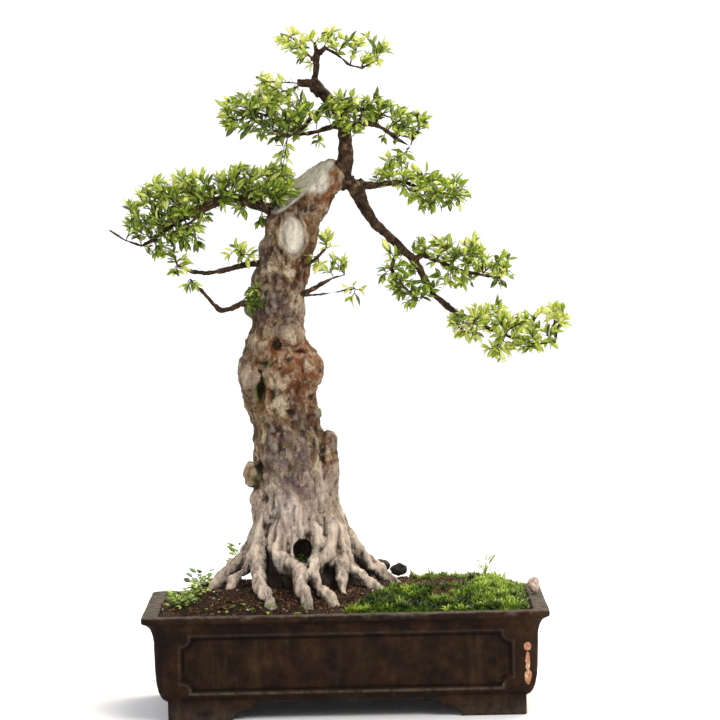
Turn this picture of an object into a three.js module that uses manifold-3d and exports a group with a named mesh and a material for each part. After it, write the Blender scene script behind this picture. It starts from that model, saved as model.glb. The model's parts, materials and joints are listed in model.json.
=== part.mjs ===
// A bonsai in a shallow rectangular clay pot. Millimetres, +Z up, and the front of the pot faces -Y.
// The origin is the middle of the pot's footprint, on the surface that its feet stand on.
import * as THREE from 'three';
import { mergeVertices } from 'three/addons/utils/BufferGeometryUtils.js';
import Module from 'manifold-3d';

const wasm = await Module();
wasm.setup();

// Pot
const RIM_HALF_LENGTH = 250;
const RIM_HALF_DEPTH = 170;
const RIM_TOP = 130;
const RIM_WIDTH = 20;
const RIM_CORNER = 14;
const FOOT_HEIGHT = 22;
const FOOT_THICKNESS = 16;
const FOOT_INSET = 24;
const FLOOR_TOP = 34;
const WALL = 12;
const PANEL_MARGIN = 32;
const PANEL_BOTTOM = 36;
const PANEL_TOP = 103;
const PANEL_NOTCH = 13;
const PANEL_DEPTH = 2.5;

// Drainage
const DRAIN_OFFSET = 110;
const DRAIN_RADIUS = 14;
const SCREEN_SIDE = 38;
const SCREEN_THICKNESS = 1;
const SCREEN_PITCH = 9;
const SCREEN_HOLE = 6;
const WIRE_RADIUS = 0.75;

// Clearance between pieces that touch
const GAP = 0.3;

// Ground cover
const SOIL_EDGE = 123;
const MOSS_THICKNESS = 7;

const group = new THREE.Group();

function addPiece(name, solid, color, roughness, metalness = 0) {
  const material = new THREE.MeshStandardMaterial({ color, roughness, metalness });
  const mesh = new THREE.Mesh(toGeometry(solid), material);
  mesh.name = name;
  group.add(mesh);
}

function toSolid(geometry) {
  const bare = geometry.index ? geometry.toNonIndexed() : geometry;
  bare.deleteAttribute('normal');
  bare.deleteAttribute('uv');
  const merged = mergeVertices(bare, 1e-3);
  const vertProperties = merged.attributes.position.array;
  const triVerts = new Uint32Array(merged.index.array);
  return new wasm.Manifold(new wasm.Mesh({ numProp: 3, vertProperties, triVerts }));
}

function toGeometry(solid) {
  const mesh = solid.getMesh();
  const geometry = new THREE.BufferGeometry();
  geometry.setAttribute('position', new THREE.BufferAttribute(mesh.vertProperties, 3));
  geometry.setIndex(new THREE.BufferAttribute(mesh.triVerts, 1));
  geometry.computeVertexNormals();
  return geometry;
}

function join(solids) {
  return solids.reduce((whole, next) => whole.add(next));
}

// A closed solid through rings of points, each ring anticlockwise seen from the last ring's side.
function loft(rings) {
  const count = rings[0].length;
  const points = rings.flat();
  const faces = [];
  for (let ring = 0; ring < rings.length - 1; ring++) {
    for (let i = 0; i < count; i++) {
      const here = ring * count + i;
      const next = ring * count + ((i + 1) % count);
      faces.push(here, next, next + count, here, next + count, here + count);
    }
  }
  const lastRing = (rings.length - 1) * count;
  for (const [start, flip] of [[0, true], [lastRing, false]]) {
    const middle = new THREE.Vector3();
    for (let i = 0; i < count; i++) middle.addScaledVector(points[start + i], 1 / count);
    points.push(middle);
    for (let i = 0; i < count; i++) {
      const here = start + i;
      const next = start + ((i + 1) % count);
      faces.push(points.length - 1, flip ? next : here, flip ? here : next);
    }
  }
  const geometry = new THREE.BufferGeometry().setFromPoints(points);
  geometry.setIndex(faces);
  return toSolid(geometry);
}

// A tapering limb along a smooth curve through [x, y, z, radius] points, from base to tip.
function limb(points, { sides = 8, spacing = 14, grow = 0, flatten = 1 } = {}) {
  const places = points.map(([x, y, z]) => new THREE.Vector3(x, y, z));
  const curve = new THREE.CatmullRomCurve3(places, false, 'centripetal');
  const steps = Math.max(points.length - 1, Math.ceil(curve.getLength() / spacing));
  const startsLevel = Math.abs(curve.getTangent(0).x) > 0.9;
  const across = startsLevel ? new THREE.Vector3(0, 1, 0) : new THREE.Vector3(1, 0, 0);
  const rings = [];
  for (let step = 0; step <= steps; step++) {
    const along = step / steps;
    const centre = curve.getPoint(along);
    const tangent = curve.getTangent(along);
    across.addScaledVector(tangent, -across.dot(tangent)).normalize();
    const outward = new THREE.Vector3().crossVectors(tangent, across);
    const place = along * (points.length - 1);
    const before = Math.min(Math.floor(place), points.length - 2);
    const radius = THREE.MathUtils.lerp(points[before][3], points[before + 1][3], place - before) + grow;
    const ring = [];
    for (let side = 0; side < sides; side++) {
      const angle = (side / sides) * Math.PI * 2;
      ring.push(
        centre
          .clone()
          .addScaledVector(across, Math.cos(angle) * radius)
          .addScaledVector(outward, Math.sin(angle) * radius * flatten),
      );
    }
    rings.push(ring);
  }
  return loft(rings);
}

// A rounded lump. Its surface swells and dips by the given roughness, the same way each time.
function lump([x, y, z, halfLength, halfDepth, halfHeight], { roughness = 0, detail = 1, grow = 0 } = {}) {
  const ball = new THREE.IcosahedronGeometry(1, detail);
  const position = ball.attributes.position;
  const point = new THREE.Vector3();
  for (let i = 0; i < position.count; i++) {
    point.fromBufferAttribute(position, i);
    const swell = Math.sin(point.x * 5 + x) * Math.sin(point.y * 5 + z) * Math.cos(point.z * 4 + y);
    point.multiplyScalar(1 + roughness * swell);
    position.setXYZ(
      i,
      x + point.x * (halfLength + grow),
      y + point.y * (halfDepth + grow),
      z + point.z * (halfHeight + grow),
    );
  }
  return toSolid(ball);
}

function block(halfLength, halfDepth, low, high, x = 0, y = 0) {
  const box = new THREE.BoxGeometry(halfLength * 2, halfDepth * 2, high - low);
  box.translate(x, y, (low + high) / 2);
  return toSolid(box);
}

function slab(shape, thickness) {
  return new THREE.ExtrudeGeometry(shape, { depth: thickness, bevelEnabled: false, curveSegments: 6 });
}

// ---------------------------------------------------------------- pot

// A level rectangle with rounded corners, as a ring of points.
function roundedRing(halfLength, halfDepth, corner, z) {
  const ring = [];
  const cornerSteps = 4;
  const middles = [[1, 1], [-1, 1], [-1, -1], [1, -1]];
  middles.forEach(([sideX, sideY], quarter) => {
    for (let step = 0; step <= cornerSteps; step++) {
      const angle = (quarter + step / cornerSteps) * (Math.PI / 2);
      ring.push(
        new THREE.Vector3(
          sideX * (halfLength - corner) + corner * Math.cos(angle),
          sideY * (halfDepth - corner) + corner * Math.sin(angle),
          z,
        ),
      );
    }
  });
  return ring;
}

// Each row of a profile is a height and how far the surface stands in from the rim's outer edge.
function rectangularLoft(profile, extraInset = 0) {
  return loft(
    profile.map(([z, inset]) => {
      const back = inset + extraInset;
      const corner = Math.max(RIM_CORNER - back * 0.25, 4);
      return roundedRing(RIM_HALF_LENGTH - back, RIM_HALF_DEPTH - back, corner, z);
    }),
  );
}

const OUTER_PROFILE = [
  [FOOT_HEIGHT, 34], [FOOT_HEIGHT + 1.5, 28], [26, 24.5], [30, 21.5], [36, 19], [46, 17], [62, 16],
  [96, 15],
  [108, 13], [114, 11], [118, 8.5], [120.5, 5], [121.5, 1], [123, 0], [128, 0], [RIM_TOP, 1.5],
];
const INNER_PROFILE = [
  [FLOOR_TOP, 38], [FLOOR_TOP + 8, 33], [62, 16 + WALL], [110, 15 + WALL], [120, RIM_WIDTH],
  [RIM_TOP + 20, RIM_WIDTH],
];

// A panel outline with a quarter-round notch in each corner.
function notchedPanel(halfLength) {
  const shape = new THREE.Shape();
  shape.moveTo(-halfLength + PANEL_NOTCH, PANEL_BOTTOM);
  shape.lineTo(halfLength - PANEL_NOTCH, PANEL_BOTTOM);
  shape.absarc(halfLength, PANEL_BOTTOM, PANEL_NOTCH, Math.PI, Math.PI / 2, true);
  shape.lineTo(halfLength, PANEL_TOP - PANEL_NOTCH);
  shape.absarc(halfLength, PANEL_TOP, PANEL_NOTCH, -Math.PI / 2, -Math.PI, true);
  shape.lineTo(-halfLength + PANEL_NOTCH, PANEL_TOP);
  shape.absarc(-halfLength, PANEL_TOP, PANEL_NOTCH, 0, -Math.PI / 2, true);
  shape.lineTo(-halfLength, PANEL_BOTTOM + PANEL_NOTCH);
  shape.absarc(-halfLength, PANEL_BOTTOM, PANEL_NOTCH, Math.PI / 2, 0, true);
  return shape;
}

// Upright slabs from an outline in x and z: one that runs right through the pot from front to back,
// and one that runs through it from side to side.
function throughFrontToBack(shape, from, to) {
  const geometry = slab(shape, to - from);
  geometry.rotateX(Math.PI / 2);
  geometry.translate(0, to, 0);
  return toSolid(geometry);
}

function throughSideToSide(shape, from, to) {
  const geometry = slab(shape, to - from);
  geometry.rotateX(Math.PI / 2);
  geometry.rotateZ(Math.PI / 2);
  geometry.translate(from, 0, 0);
  return toSolid(geometry);
}

// One wing of a scrolled bracket foot. It starts at the pot's corner and its underside steps up inwards.
function footWing(corner, side, run) {
  const top = FOOT_HEIGHT + 4;
  const at = (distance) => side * (corner - distance);
  const shape = new THREE.Shape();
  shape.moveTo(at(2), 0);
  shape.lineTo(at(0), top);
  shape.lineTo(at(run), top);
  shape.lineTo(at(run), FOOT_HEIGHT - 0.5);
  shape.quadraticCurveTo(at(run - 3), 13.5, at(run - 13), 13);
  shape.lineTo(at(run - 22), 12);
  shape.quadraticCurveTo(at(run - 28), 10, at(run - 29), 0);
  return shape;
}

function makePot() {
  const outer = rectangularLoft(OUTER_PROFILE);
  const panelFloor = rectangularLoft(OUTER_PROFILE, PANEL_DEPTH);
  const panelBands = join([
    throughFrontToBack(notchedPanel(RIM_HALF_LENGTH - PANEL_MARGIN - 16), -RIM_HALF_DEPTH, RIM_HALF_DEPTH),
    throughSideToSide(notchedPanel(RIM_HALF_DEPTH - PANEL_MARGIN - 16), -RIM_HALF_LENGTH, RIM_HALF_LENGTH),
  ]);
  let pot = outer.subtract(rectangularLoft(INNER_PROFILE)).subtract(panelBands.subtract(panelFloor));
  const footX = RIM_HALF_LENGTH - FOOT_INSET - 6;
  const footY = RIM_HALF_DEPTH - FOOT_INSET;
  for (const side of [-1, 1]) {
    for (const [from, to] of [[-footY, -footY + FOOT_THICKNESS], [footY - FOOT_THICKNESS, footY]]) {
      pot = pot.add(throughFrontToBack(footWing(footX, side, 109), from, to));
    }
    for (const [from, to] of [[-footX, -footX + FOOT_THICKNESS], [footX - FOOT_THICKNESS, footX]]) {
      pot = pot.add(throughSideToSide(footWing(footY, side, 80), from, to));
    }
    const drain = new THREE.CylinderGeometry(DRAIN_RADIUS, DRAIN_RADIUS, 20, 24);
    drain.rotateX(Math.PI / 2);
    drain.translate(side * DRAIN_OFFSET, 0, FOOT_HEIGHT + 6);
    pot = pot.subtract(toSolid(drain));
  }
  return pot;
}

// ---------------------------------------------------------------- drainage

const SCREEN_BOTTOM = FLOOR_TOP + GAP;
const SCREEN_TOP = SCREEN_BOTTOM + SCREEN_THICKNESS;

function makeScreen(x) {
  const hole = SCREEN_HOLE / 2;
  let screen = block(SCREEN_SIDE / 2, SCREEN_SIDE / 2, SCREEN_BOTTOM, SCREEN_TOP, x);
  for (let column = -1; column <= 1; column++) {
    for (let row = -1; row <= 1; row++) {
      const holeX = x + column * SCREEN_PITCH;
      const holeY = row * SCREEN_PITCH;
      screen = screen.subtract(block(hole, hole, FLOOR_TOP, SCREEN_TOP + 1, holeX, holeY));
    }
  }
  return screen;
}

// A staple that passes over the screen, down through two of its holes and out under the pot.
function makeStaple(x) {
  const over = SCREEN_TOP + GAP + WIRE_RADIUS;
  const under = FOOT_HEIGHT - GAP - WIRE_RADIUS;
  const leg = SCREEN_PITCH;
  const end = SCREEN_PITCH * 2.6;
  const half = [
    [end, under], [leg + 4, under], [leg + 1, under], [leg, under + 2],
    [leg, over - 2], [leg - 1, over], [leg - 4, over],
  ];
  const points = half.map(([reach, z]) => [x - reach, 0, z, WIRE_RADIUS]);
  const mirrored = half.map(([reach, z]) => [x + reach, 0, z, WIRE_RADIUS]).reverse();
  return limb([...points, ...mirrored], { sides: 6, spacing: 6 });
}

// ---------------------------------------------------------------- tree

const TRUNK_LINE = [
  [-48, 0, 100, 46], [-48, 0, 150, 62], [-49, 0, 178, 66], [-51, 0, 200, 63], [-55, 1, 222, 57],
  [-58, 2, 245, 53],
  [-60, 3, 268, 52], [-62, 4, 292, 50], [-64, 4, 318, 47], [-69, 4, 347, 42], [-72, 3, 368, 43],
  [-77, 2, 390, 48],
  [-76, 1, 417, 50], [-77, 1, 442, 47], [-79, 2, 460, 40], [-77, 3, 476, 34], [-78, 4, 494, 33],
  [-77, 5, 514, 34],
  [-74, 6, 535, 35], [-69, 7, 556, 35], [-60, 8, 580, 33], [-57, 9, 601, 34], [-52, 9, 620, 34],
  [-38, 8, 637, 31],
  [-22, 6, 652, 27], [-5, 4, 663, 21], [6, 2, 671, 14],
];
const TRUNK_FLATTEN = 0.86;

// Surface roots: each runs from the flank of the trunk, over the soil, and dives under it.
const ROOTS = [
  [
    [-108, -30, 201, 10], [-108, -45, 186, 10], [-111, -60, 172, 10], [-105, -75, 158, 9],
    [-95, -92, 144, 8], [-88, -108, 120, 5],
  ],
  [
    [-78, -45, 193, 12], [-69, -55, 178, 11], [-58, -64, 176, 10], [-57, -75, 168, 10],
    [-52, -90, 154, 10], [-46, -105, 137, 8], [-42, -116, 116, 5],
  ],
  [
    [-15, -38, 202, 9], [-30, -50, 190, 8], [-39, -62, 174, 8], [-36, -76, 160, 8], [-23, -88, 148, 7],
    [-14, -99, 136, 6], [-8, -108, 118, 4],
  ],
  [[-6, -32, 199, 8], [-3, -45, 180, 7], [-5, -55, 165, 7], [-4, -64, 154, 6], [0, -74, 138, 4]],
  [[2, -28, 186, 9], [11, -38, 171, 8], [25, -48, 161, 7], [38, -56, 151, 6], [50, -62, 136, 4]],
  [
    [0, -2, 218, 12], [9, -6, 200, 11], [24, -10, 185, 9], [40, -15, 170, 8], [57, -20, 160, 7],
    [74, -25, 144, 4],
  ],
  [[-116, -22, 182, 8], [-129, -32, 169, 6], [-143, -42, 154, 5], [-154, -48, 138, 3]],
  [
    [-112, -4, 202, 12], [-134, -9, 178, 10], [-154, -14, 161, 8], [-168, -18, 151, 6],
    [-184, -22, 136, 3],
  ],
  [[-95, 30, 196, 13], [-122, 52, 172, 11], [-146, 68, 157, 8], [-162, 80, 138, 4]],
  [[-56, 44, 198, 13], [-52, 70, 174, 11], [-42, 94, 152, 8], [-36, 110, 130, 4]],
  [[-18, 28, 200, 13], [10, 48, 177, 10], [34, 66, 162, 8], [54, 80, 142, 4]],
  [[-82, 38, 200, 11], [-92, 66, 174, 9], [-98, 90, 154, 7], [-102, 106, 132, 4]],
];
const ROOT_START_HEIGHT = 262;
const ROOT_BARK = 1.2;

// Burls, knobs and stubs of old branches.
const BURLS = [
  [-66, -22, 469, 21, 20, 20], [-108, -10, 418, 22, 26, 36], [-40, -12, 424, 19, 24, 22],
  [-110, -10, 292, 13, 15, 17],
  [-106, -12, 260, 12, 14, 15], [-35, -8, 368, 12, 16, 12], [-18, -4, 300, 13, 20, 48],
  [-110, -4, 498, 12, 15, 15],
];

// Hollows: two at the foot between the roots, a cleft in the left burl, and a knot hole high up.
const HOLLOWS = [
  [-52, -58, 197, 12, 26, 18], [-21, -62, 171, 8, 22, 14], [-100, -38, 400, 6, 16, 30],
  [-70, -30, 570, 4, 9, 5],
];

function makeTrunk(grow = 0) {
  const pieces = [limb(TRUNK_LINE, { sides: 16, spacing: 24, grow, flatten: TRUNK_FLATTEN })];
  for (const root of ROOTS) {
    const [x, y, , radius] = root[0];
    const start = [-58 + (x + 58) * 0.68, y * 0.68, ROOT_START_HEIGHT, radius * 0.8];
    pieces.push(limb([start, ...root], { sides: 6, spacing: 24, grow: grow + ROOT_BARK }));
  }
  for (const burl of BURLS) pieces.push(lump(burl, { roughness: 0.08, grow }));
  let trunk = join(pieces);
  if (grow === 0) {
    for (const hollow of HOLLOWS) trunk = trunk.subtract(lump(hollow));
    trunk = trunk.subtract(sawnShoulder());
  }
  return trunk;
}

// The slice above the old saw cut, where the first leader of the tree was taken off.
function sawnShoulder() {
  const box = new THREE.BoxGeometry(160, 160, 60);
  box.translate(0, 0, 30);
  const facing = new THREE.Vector3(-0.52, -0.52, 0.68).normalize();
  box.applyQuaternion(new THREE.Quaternion().setFromUnitVectors(new THREE.Vector3(0, 0, 1), facing));
  box.translate(-28, -8, 660);
  return toSolid(box);
}

// Stems that grow from the trunk or from each other: the first point lies inside what carries them.
const BRANCHES = {
  crown_leader: [
    [4, 2, 662, 13], [11, 0, 678, 11], [12, -2, 692, 9.5], [12, -3, 711, 8.5], [9, -2, 732, 8],
    [2, 0, 747, 8],
    [-17, 2, 768, 7.5], [-25, 4, 784, 4.5], [-21, 4, 809, 3.6], [-24, 2, 830, 1.8],
  ],
  crown_branch_left: [
    [0, -1, 750, 4], [-21, -10, 745, 3.6], [-34, -20, 730, 3.2], [-55, -30, 712, 2.4],
    [-78, -34, 722, 1.6],
  ],
  crown_branch_left_back: [
    [9, 2, 727, 4], [-13, 14, 722, 3.4], [-44, 26, 715, 2.6], [-78, 26, 736, 2], [-104, 14, 746, 1.4],
  ],
  crown_branch_right: [
    [12, -4, 722, 4.2], [36, -12, 728, 3.6], [58, -8, 722, 3.2], [72, -2, 710, 2.6], [93, 4, 698, 1.6],
  ],
  crown_branch_right_back: [[6, 4, 740, 3.6], [26, 22, 746, 3], [48, 34, 742, 2.2], [70, 30, 734, 1.4]],
  crown_branch_stub: [[-16, 0, 766, 6], [-30, -4, 779, 6], [-46, -6, 780, 5]],
  crown_top_right: [
    [-22, 4, 812, 2.6], [-8, 4, 824, 2.2], [12, 2, 806, 2.2], [30, 6, 796, 2], [54, 10, 806, 1.4],
  ],
  crown_top_left: [[-23, 4, 806, 2.4], [-37, 2, 819, 1.8], [-53, 0, 838, 1.2]],
  left_pad_branch: [
    [-58, 6, 614, 9], [-92, 2, 626, 8], [-133, 0, 638, 6.5], [-170, -4, 627, 5.5], [-215, -2, 602, 4],
    [-246, 0, 580, 2.4], [-286, 2, 601, 1.3],
  ],
  left_pad_branch_back: [[-118, 2, 634, 5], [-142, 22, 646, 4], [-176, 34, 640, 3], [-212, 34, 626, 2]],
  left_pad_branch_front: [
    [-136, -2, 637, 4.4], [-160, -24, 626, 3.4], [-188, -34, 606, 2.4], [-214, -26, 590, 1.6],
  ],
  left_middle_branch: [
    [-84, 4, 556, 5], [-106, -2, 556, 4.4], [-128, -8, 551, 4], [-160, -10, 545, 3.2],
    [-180, -10, 546, 2.6], [-202, -10, 556, 1.6],
  ],
  left_lower_twig: [
    [-96, 2, 508, 4], [-120, -4, 509, 3.6], [-143, -8, 496, 3.2], [-153, -9, 502, 2.6],
    [-169, -9, 520, 2], [-186, -8, 538, 1.3],
  ],
  right_cascade_branch: [
    [-4, 4, 652, 12], [16, 2, 655, 11], [26, -2, 642, 9.5], [33, -5, 625, 8], [45, -8, 604, 7.4],
    [62, -10, 588, 6.8],
    [80, -10, 570, 6], [97, -8, 552, 5.4], [108, -6, 531, 4.6], [113, -4, 518, 4.4], [130, -2, 501, 4],
    [150, 0, 486, 3.6], [189, 2, 467, 2.8], [240, 2, 447, 2], [270, 0, 450, 1.4],
  ],
  right_upper_branch: [
    [20, 4, 650, 7], [40, 10, 650, 6], [58, 14, 650, 4.6], [76, 16, 655, 3.4], [98, 16, 648, 2.6],
    [130, 10, 632, 1.6],
  ],
  right_side_branch: [
    [94, -6, 556, 4], [108, 0, 562, 3.6], [131, 4, 550, 3], [150, 6, 542, 2.6], [176, 4, 536, 2],
    [204, 4, 530, 1.4],
  ],
  right_hanging_branch: [
    [78, -10, 572, 3.6], [70, -18, 560, 2.8], [66, -22, 545, 2.2], [80, -24, 524, 1.8],
    [98, -18, 508, 1.3],
  ],
  shoot_upper: [[-52, -10, 548, 3], [-37, -20, 553, 2.6], [-26, -24, 562, 2], [-14, -26, 575, 1.3]],
  shoot_middle: [
    [-60, -6, 516, 3.8], [-41, -14, 518, 3.4], [-23, -18, 528, 3], [-6, -20, 536, 2.6],
    [8, -18, 540, 1.8],
  ],
  shoot_tip: [[-56, 0, 514, 2.2], [-38, -6, 514, 2], [-8, -10, 517, 1.6], [20, -10, 522, 1.2]],
};

// Each cloud of foliage as the lumps that it fills: middle x, y, z, then half length, depth and height.
const FOLIAGE = {
  crown_left: [[-48, 5, 828, 21, 24, 19]],
  crown_right: [[4, -6, 831, 25, 24, 15], [44, 6, 818, 27, 24, 18]],
  upper_left: [
    [-111, -8, 742, 35, 40, 23], [-82, 12, 768, 17, 28, 25], [-60, -24, 745, 30, 38, 24],
    [-66, 14, 724, 31, 38, 14],
  ],
  upper_right: [[16, -30, 741, 24, 32, 21], [50, 8, 743, 26, 36, 19], [88, -2, 725, 30, 34, 18]],
  left_inner: [[-76, -14, 653, 25, 42, 27], [-118, 6, 650, 31, 50, 28]],
  left_outer: [
    [-182, -6, 645, 30, 46, 27], [-221, 10, 627, 33, 46, 34], [-246, -4, 613, 18, 30, 28],
    [-192, -22, 602, 27, 40, 21],
    [-216, 12, 583, 25, 34, 16],
  ],
  left_tip: [[-199, -10, 553, 13, 14, 12]],
  left_sprout: [[-121, -20, 570, 16, 18, 14]],
  trunk_left: [[-107, -50, 508, 9, 11, 20]],
  left_low_tip: [[-186, -8, 532, 11, 12, 10]],
  shoot_upper: [[-10, -28, 579, 10, 12, 11]],
  shoot_middle: [[-9, -20, 551, 20, 20, 12]],
  shoot_tip: [[20, -10, 516, 13, 12, 11]],
  right_upper: [[75, 20, 664, 25, 36, 22], [112, -8, 643, 34, 46, 24], [143, 14, 638, 18, 28, 20]],
  right_hanging: [[66, -22, 560, 11, 15, 18], [72, -25, 537, 20, 26, 16], [94, -18, 516, 22, 28, 16]],
  right_middle: [
    [126, 6, 566, 24, 34, 16], [166, -10, 561, 25, 36, 16], [198, 2, 541, 24, 32, 19],
    [150, 12, 538, 26, 32, 16],
  ],
  right_end: [
    [160, -14, 472, 22, 32, 18], [185, 10, 483, 22, 32, 17], [215, -4, 468, 25, 42, 22],
    [246, 10, 456, 25, 38, 18],
    [269, -4, 474, 18, 28, 20], [202, 4, 445, 25, 32, 10],
  ],
};

// Cuts a piece clear of its neighbours and keeps its largest part.
function clearOf(solid, neighbours) {
  let left = solid;
  for (const neighbour of neighbours) left = left.subtract(neighbour);
  return left.decompose().sort((a, b) => b.volume() - a.volume())[0];
}

const trunk = makeTrunk();
const trunkSpace = makeTrunk(GAP);
const wood = [];
const woodSpace = [trunkSpace];
for (const [name, points] of Object.entries(BRANCHES)) {
  wood.push([name, clearOf(limb(points, { sides: 6, spacing: 22 }), woodSpace)]);
  woodSpace.push(limb(points, { sides: 6, spacing: 22, grow: GAP }));
}

const clouds = [];
const cloudSpace = [];
for (const [name, lumps] of Object.entries(FOLIAGE)) {
  const cloud = join(lumps.map((sizes) => lump(sizes, { roughness: 0.07 })));
  clouds.push([name, clearOf(cloud, [...woodSpace, ...cloudSpace])]);
  cloudSpace.push(join(lumps.map((sizes) => lump(sizes, { roughness: 0.07, grow: GAP }))));
}

// ---------------------------------------------------------------- ground

// The planting mounds up from the rim to the foot of the trunk.
function groundHeight(x, y) {
  const rise = (distance, run) => THREE.MathUtils.smoothstep(distance, 0, run);
  const fromSide = RIM_HALF_LENGTH - RIM_WIDTH - Math.abs(x);
  const fromFront = RIM_HALF_DEPTH - RIM_WIDTH - Math.abs(y);
  const shelf = rise(fromSide, 60) * rise(fromFront, 120);
  const crown = Math.exp(-(((x + 55) / 110) ** 2) - ((y - 15) / 90) ** 2);
  const crumbs = Math.sin(x * 0.11) * Math.sin(y * 0.13) + 0.6 * Math.sin(x * 0.23 + y * 0.19);
  return SOIL_EDGE + 27 * shelf + 22 * crown + 0.8 * crumbs;
}

// Everything below a sheet that follows the ground at a given lift.
function belowGround(lift) {
  const columns = 16;
  const rows = 11;
  const half = [RIM_HALF_LENGTH - 10, RIM_HALF_DEPTH - 10];
  const at = (column, row) => [((column / columns) * 2 - 1) * half[0], ((row / rows) * 2 - 1) * half[1]];
  const points = [];
  for (const top of [false, true]) {
    for (let row = 0; row <= rows; row++) {
      for (let column = 0; column <= columns; column++) {
        const [x, y] = at(column, row);
        points.push(new THREE.Vector3(x, y, top ? groundHeight(x, y) + lift : FLOOR_TOP - 4));
      }
    }
  }
  const layer = (columns + 1) * (rows + 1);
  const index = (column, row, top) => row * (columns + 1) + column + (top ? layer : 0);
  const faces = [];
  const quad = (a, b, c, d) => faces.push(a, b, c, a, c, d);
  for (let row = 0; row < rows; row++) {
    for (let column = 0; column < columns; column++) {
      const corners = [[column, row], [column + 1, row], [column + 1, row + 1], [column, row + 1]];
      quad(...corners.map(([c, r]) => index(c, r, true)));
      quad(...corners.map(([c, r]) => index(c, r, false)).reverse());
    }
  }
  const side = ([column, row], [nextColumn, nextRow]) => {
    const lower = [index(column, row, false), index(nextColumn, nextRow, false)];
    const upper = [index(nextColumn, nextRow, true), index(column, row, true)];
    quad(...lower, ...upper);
  };
  for (let column = 0; column < columns; column++) {
    side([column, 0], [column + 1, 0]);
    side([column + 1, rows], [column, rows]);
  }
  for (let row = 0; row < rows; row++) {
    side([0, row + 1], [0, row]);
    side([columns, row], [columns, row + 1]);
  }
  const geometry = new THREE.BufferGeometry().setFromPoints(points);
  geometry.setIndex(faces);
  return toSolid(geometry);
}

// The moss covers the right-hand side, up to the roots.
function mossOutline() {
  const shape = new THREE.Shape();
  shape.moveTo(0, -143);
  shape.lineTo(223, -143);
  shape.lineTo(223, 130);
  shape.lineTo(96, 138);
  shape.quadraticCurveTo(70, 90, 92, 40);
  shape.quadraticCurveTo(90, -20, 50, -78);
  shape.quadraticCurveTo(20, -92, 0, -143);
  return shape;
}

function mossPrism() {
  const geometry = slab(mossOutline(), 120);
  geometry.translate(0, 0, 90);
  return toSolid(geometry);
}

// Small pieces on the soil: middle x, y, z, then half length, depth and height.
const STONES = {
  dark_stone_large: [45, 64, 167, 12, 9, 8],
  dark_stone_small: [68, 60, 162, 11, 8, 8],
  pale_stone: [238, 40, 141, 8, 10, 10],
};
const PLANTLETS = {
  weed_left_rim: [-212, -40, 144, 13, 14, 10],
  weed_left_back: [-182, 50, 160, 18, 16, 13],
  fern_behind_root: [-132, 66, 186, 12, 14, 24],
  grass_tuft: [177, 30, 167, 10, 10, 16],
};

const cavity = rectangularLoft(INNER_PROFILE, GAP);
const drainSpace = [];
for (const side of [-1, 1]) {
  const x = side * DRAIN_OFFSET;
  const roof = SCREEN_TOP + GAP + WIRE_RADIUS * 2 + GAP;
  drainSpace.push(block(SCREEN_SIDE / 2 + GAP, SCREEN_SIDE / 2 + GAP, FLOOR_TOP - 1, SCREEN_TOP + GAP, x));
  drainSpace.push(block(SCREEN_PITCH + 2, WIRE_RADIUS + GAP, FLOOR_TOP - 1, roof, x));
}
const soil = clearOf(cavity.intersect(belowGround(0)), [trunkSpace, ...drainSpace]);
const mossLayer = cavity.intersect(belowGround(MOSS_THICKNESS)).intersect(mossPrism());
const moss = clearOf(mossLayer, [belowGround(GAP), trunkSpace]);
const groundSpace = [belowGround(GAP), belowGround(MOSS_THICKNESS + GAP).intersect(mossPrism()), trunkSpace];

// ---------------------------------------------------------------- assembly

const pot = makePot();
const potSpace = rectangularLoft(OUTER_PROFILE, -GAP).subtract(rectangularLoft(INNER_PROFILE, GAP));
addPiece('pot', pot, 0x3a2b20, 0.85);
[['left', -1], ['right', 1]].forEach(([name, side]) => {
  addPiece(`drain_screen_${name}`, makeScreen(side * DRAIN_OFFSET), 0x1c1f1c, 0.6);
  addPiece(`screen_wire_${name}`, makeStaple(side * DRAIN_OFFSET), 0x9a9a98, 0.4, 1);
});
addPiece('soil', soil, 0x3d2a1c, 0.95);
addPiece('moss_bed', moss, 0x4f7a1f, 0.95);
for (const [name, sizes] of Object.entries(STONES)) {
  const color = name === 'pale_stone' ? 0xb8a39c : 0x2b2623;
  addPiece(name, clearOf(lump(sizes, { roughness: 0.1 }), [...groundSpace, potSpace]), color, 0.9);
}
for (const [name, sizes] of Object.entries(PLANTLETS)) {
  addPiece(name, clearOf(lump(sizes, { roughness: 0.1 }), [...groundSpace, potSpace]), 0x7fa63a, 0.7);
}
addPiece('trunk', trunk, 0x9a8a74, 0.9);
for (const [name, solid] of wood) {
  addPiece(name.startsWith('shoot') ? `${name}_stem` : name, solid, 0x4a392b, 0.85);
}
for (const [name, solid] of clouds) addPiece(`foliage_${name}`, solid, 0x86b52e, 0.6);

export default group;
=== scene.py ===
# %% [markdown]
# A bonsai in a shallow clay pot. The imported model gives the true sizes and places: the pot, the soil, the
# trunk, every main stem, and a plain solid for each cloud of foliage. Here each of them gets its real
# surface. The frame comes first, so that all later positions can be read from it.

# %% Load the frame
import json
import math
import random

import bmesh
import bpy
import numpy as np
from mathutils import Euler, Matrix, Vector, noise
from mathutils.bvhtree import BVHTree

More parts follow.
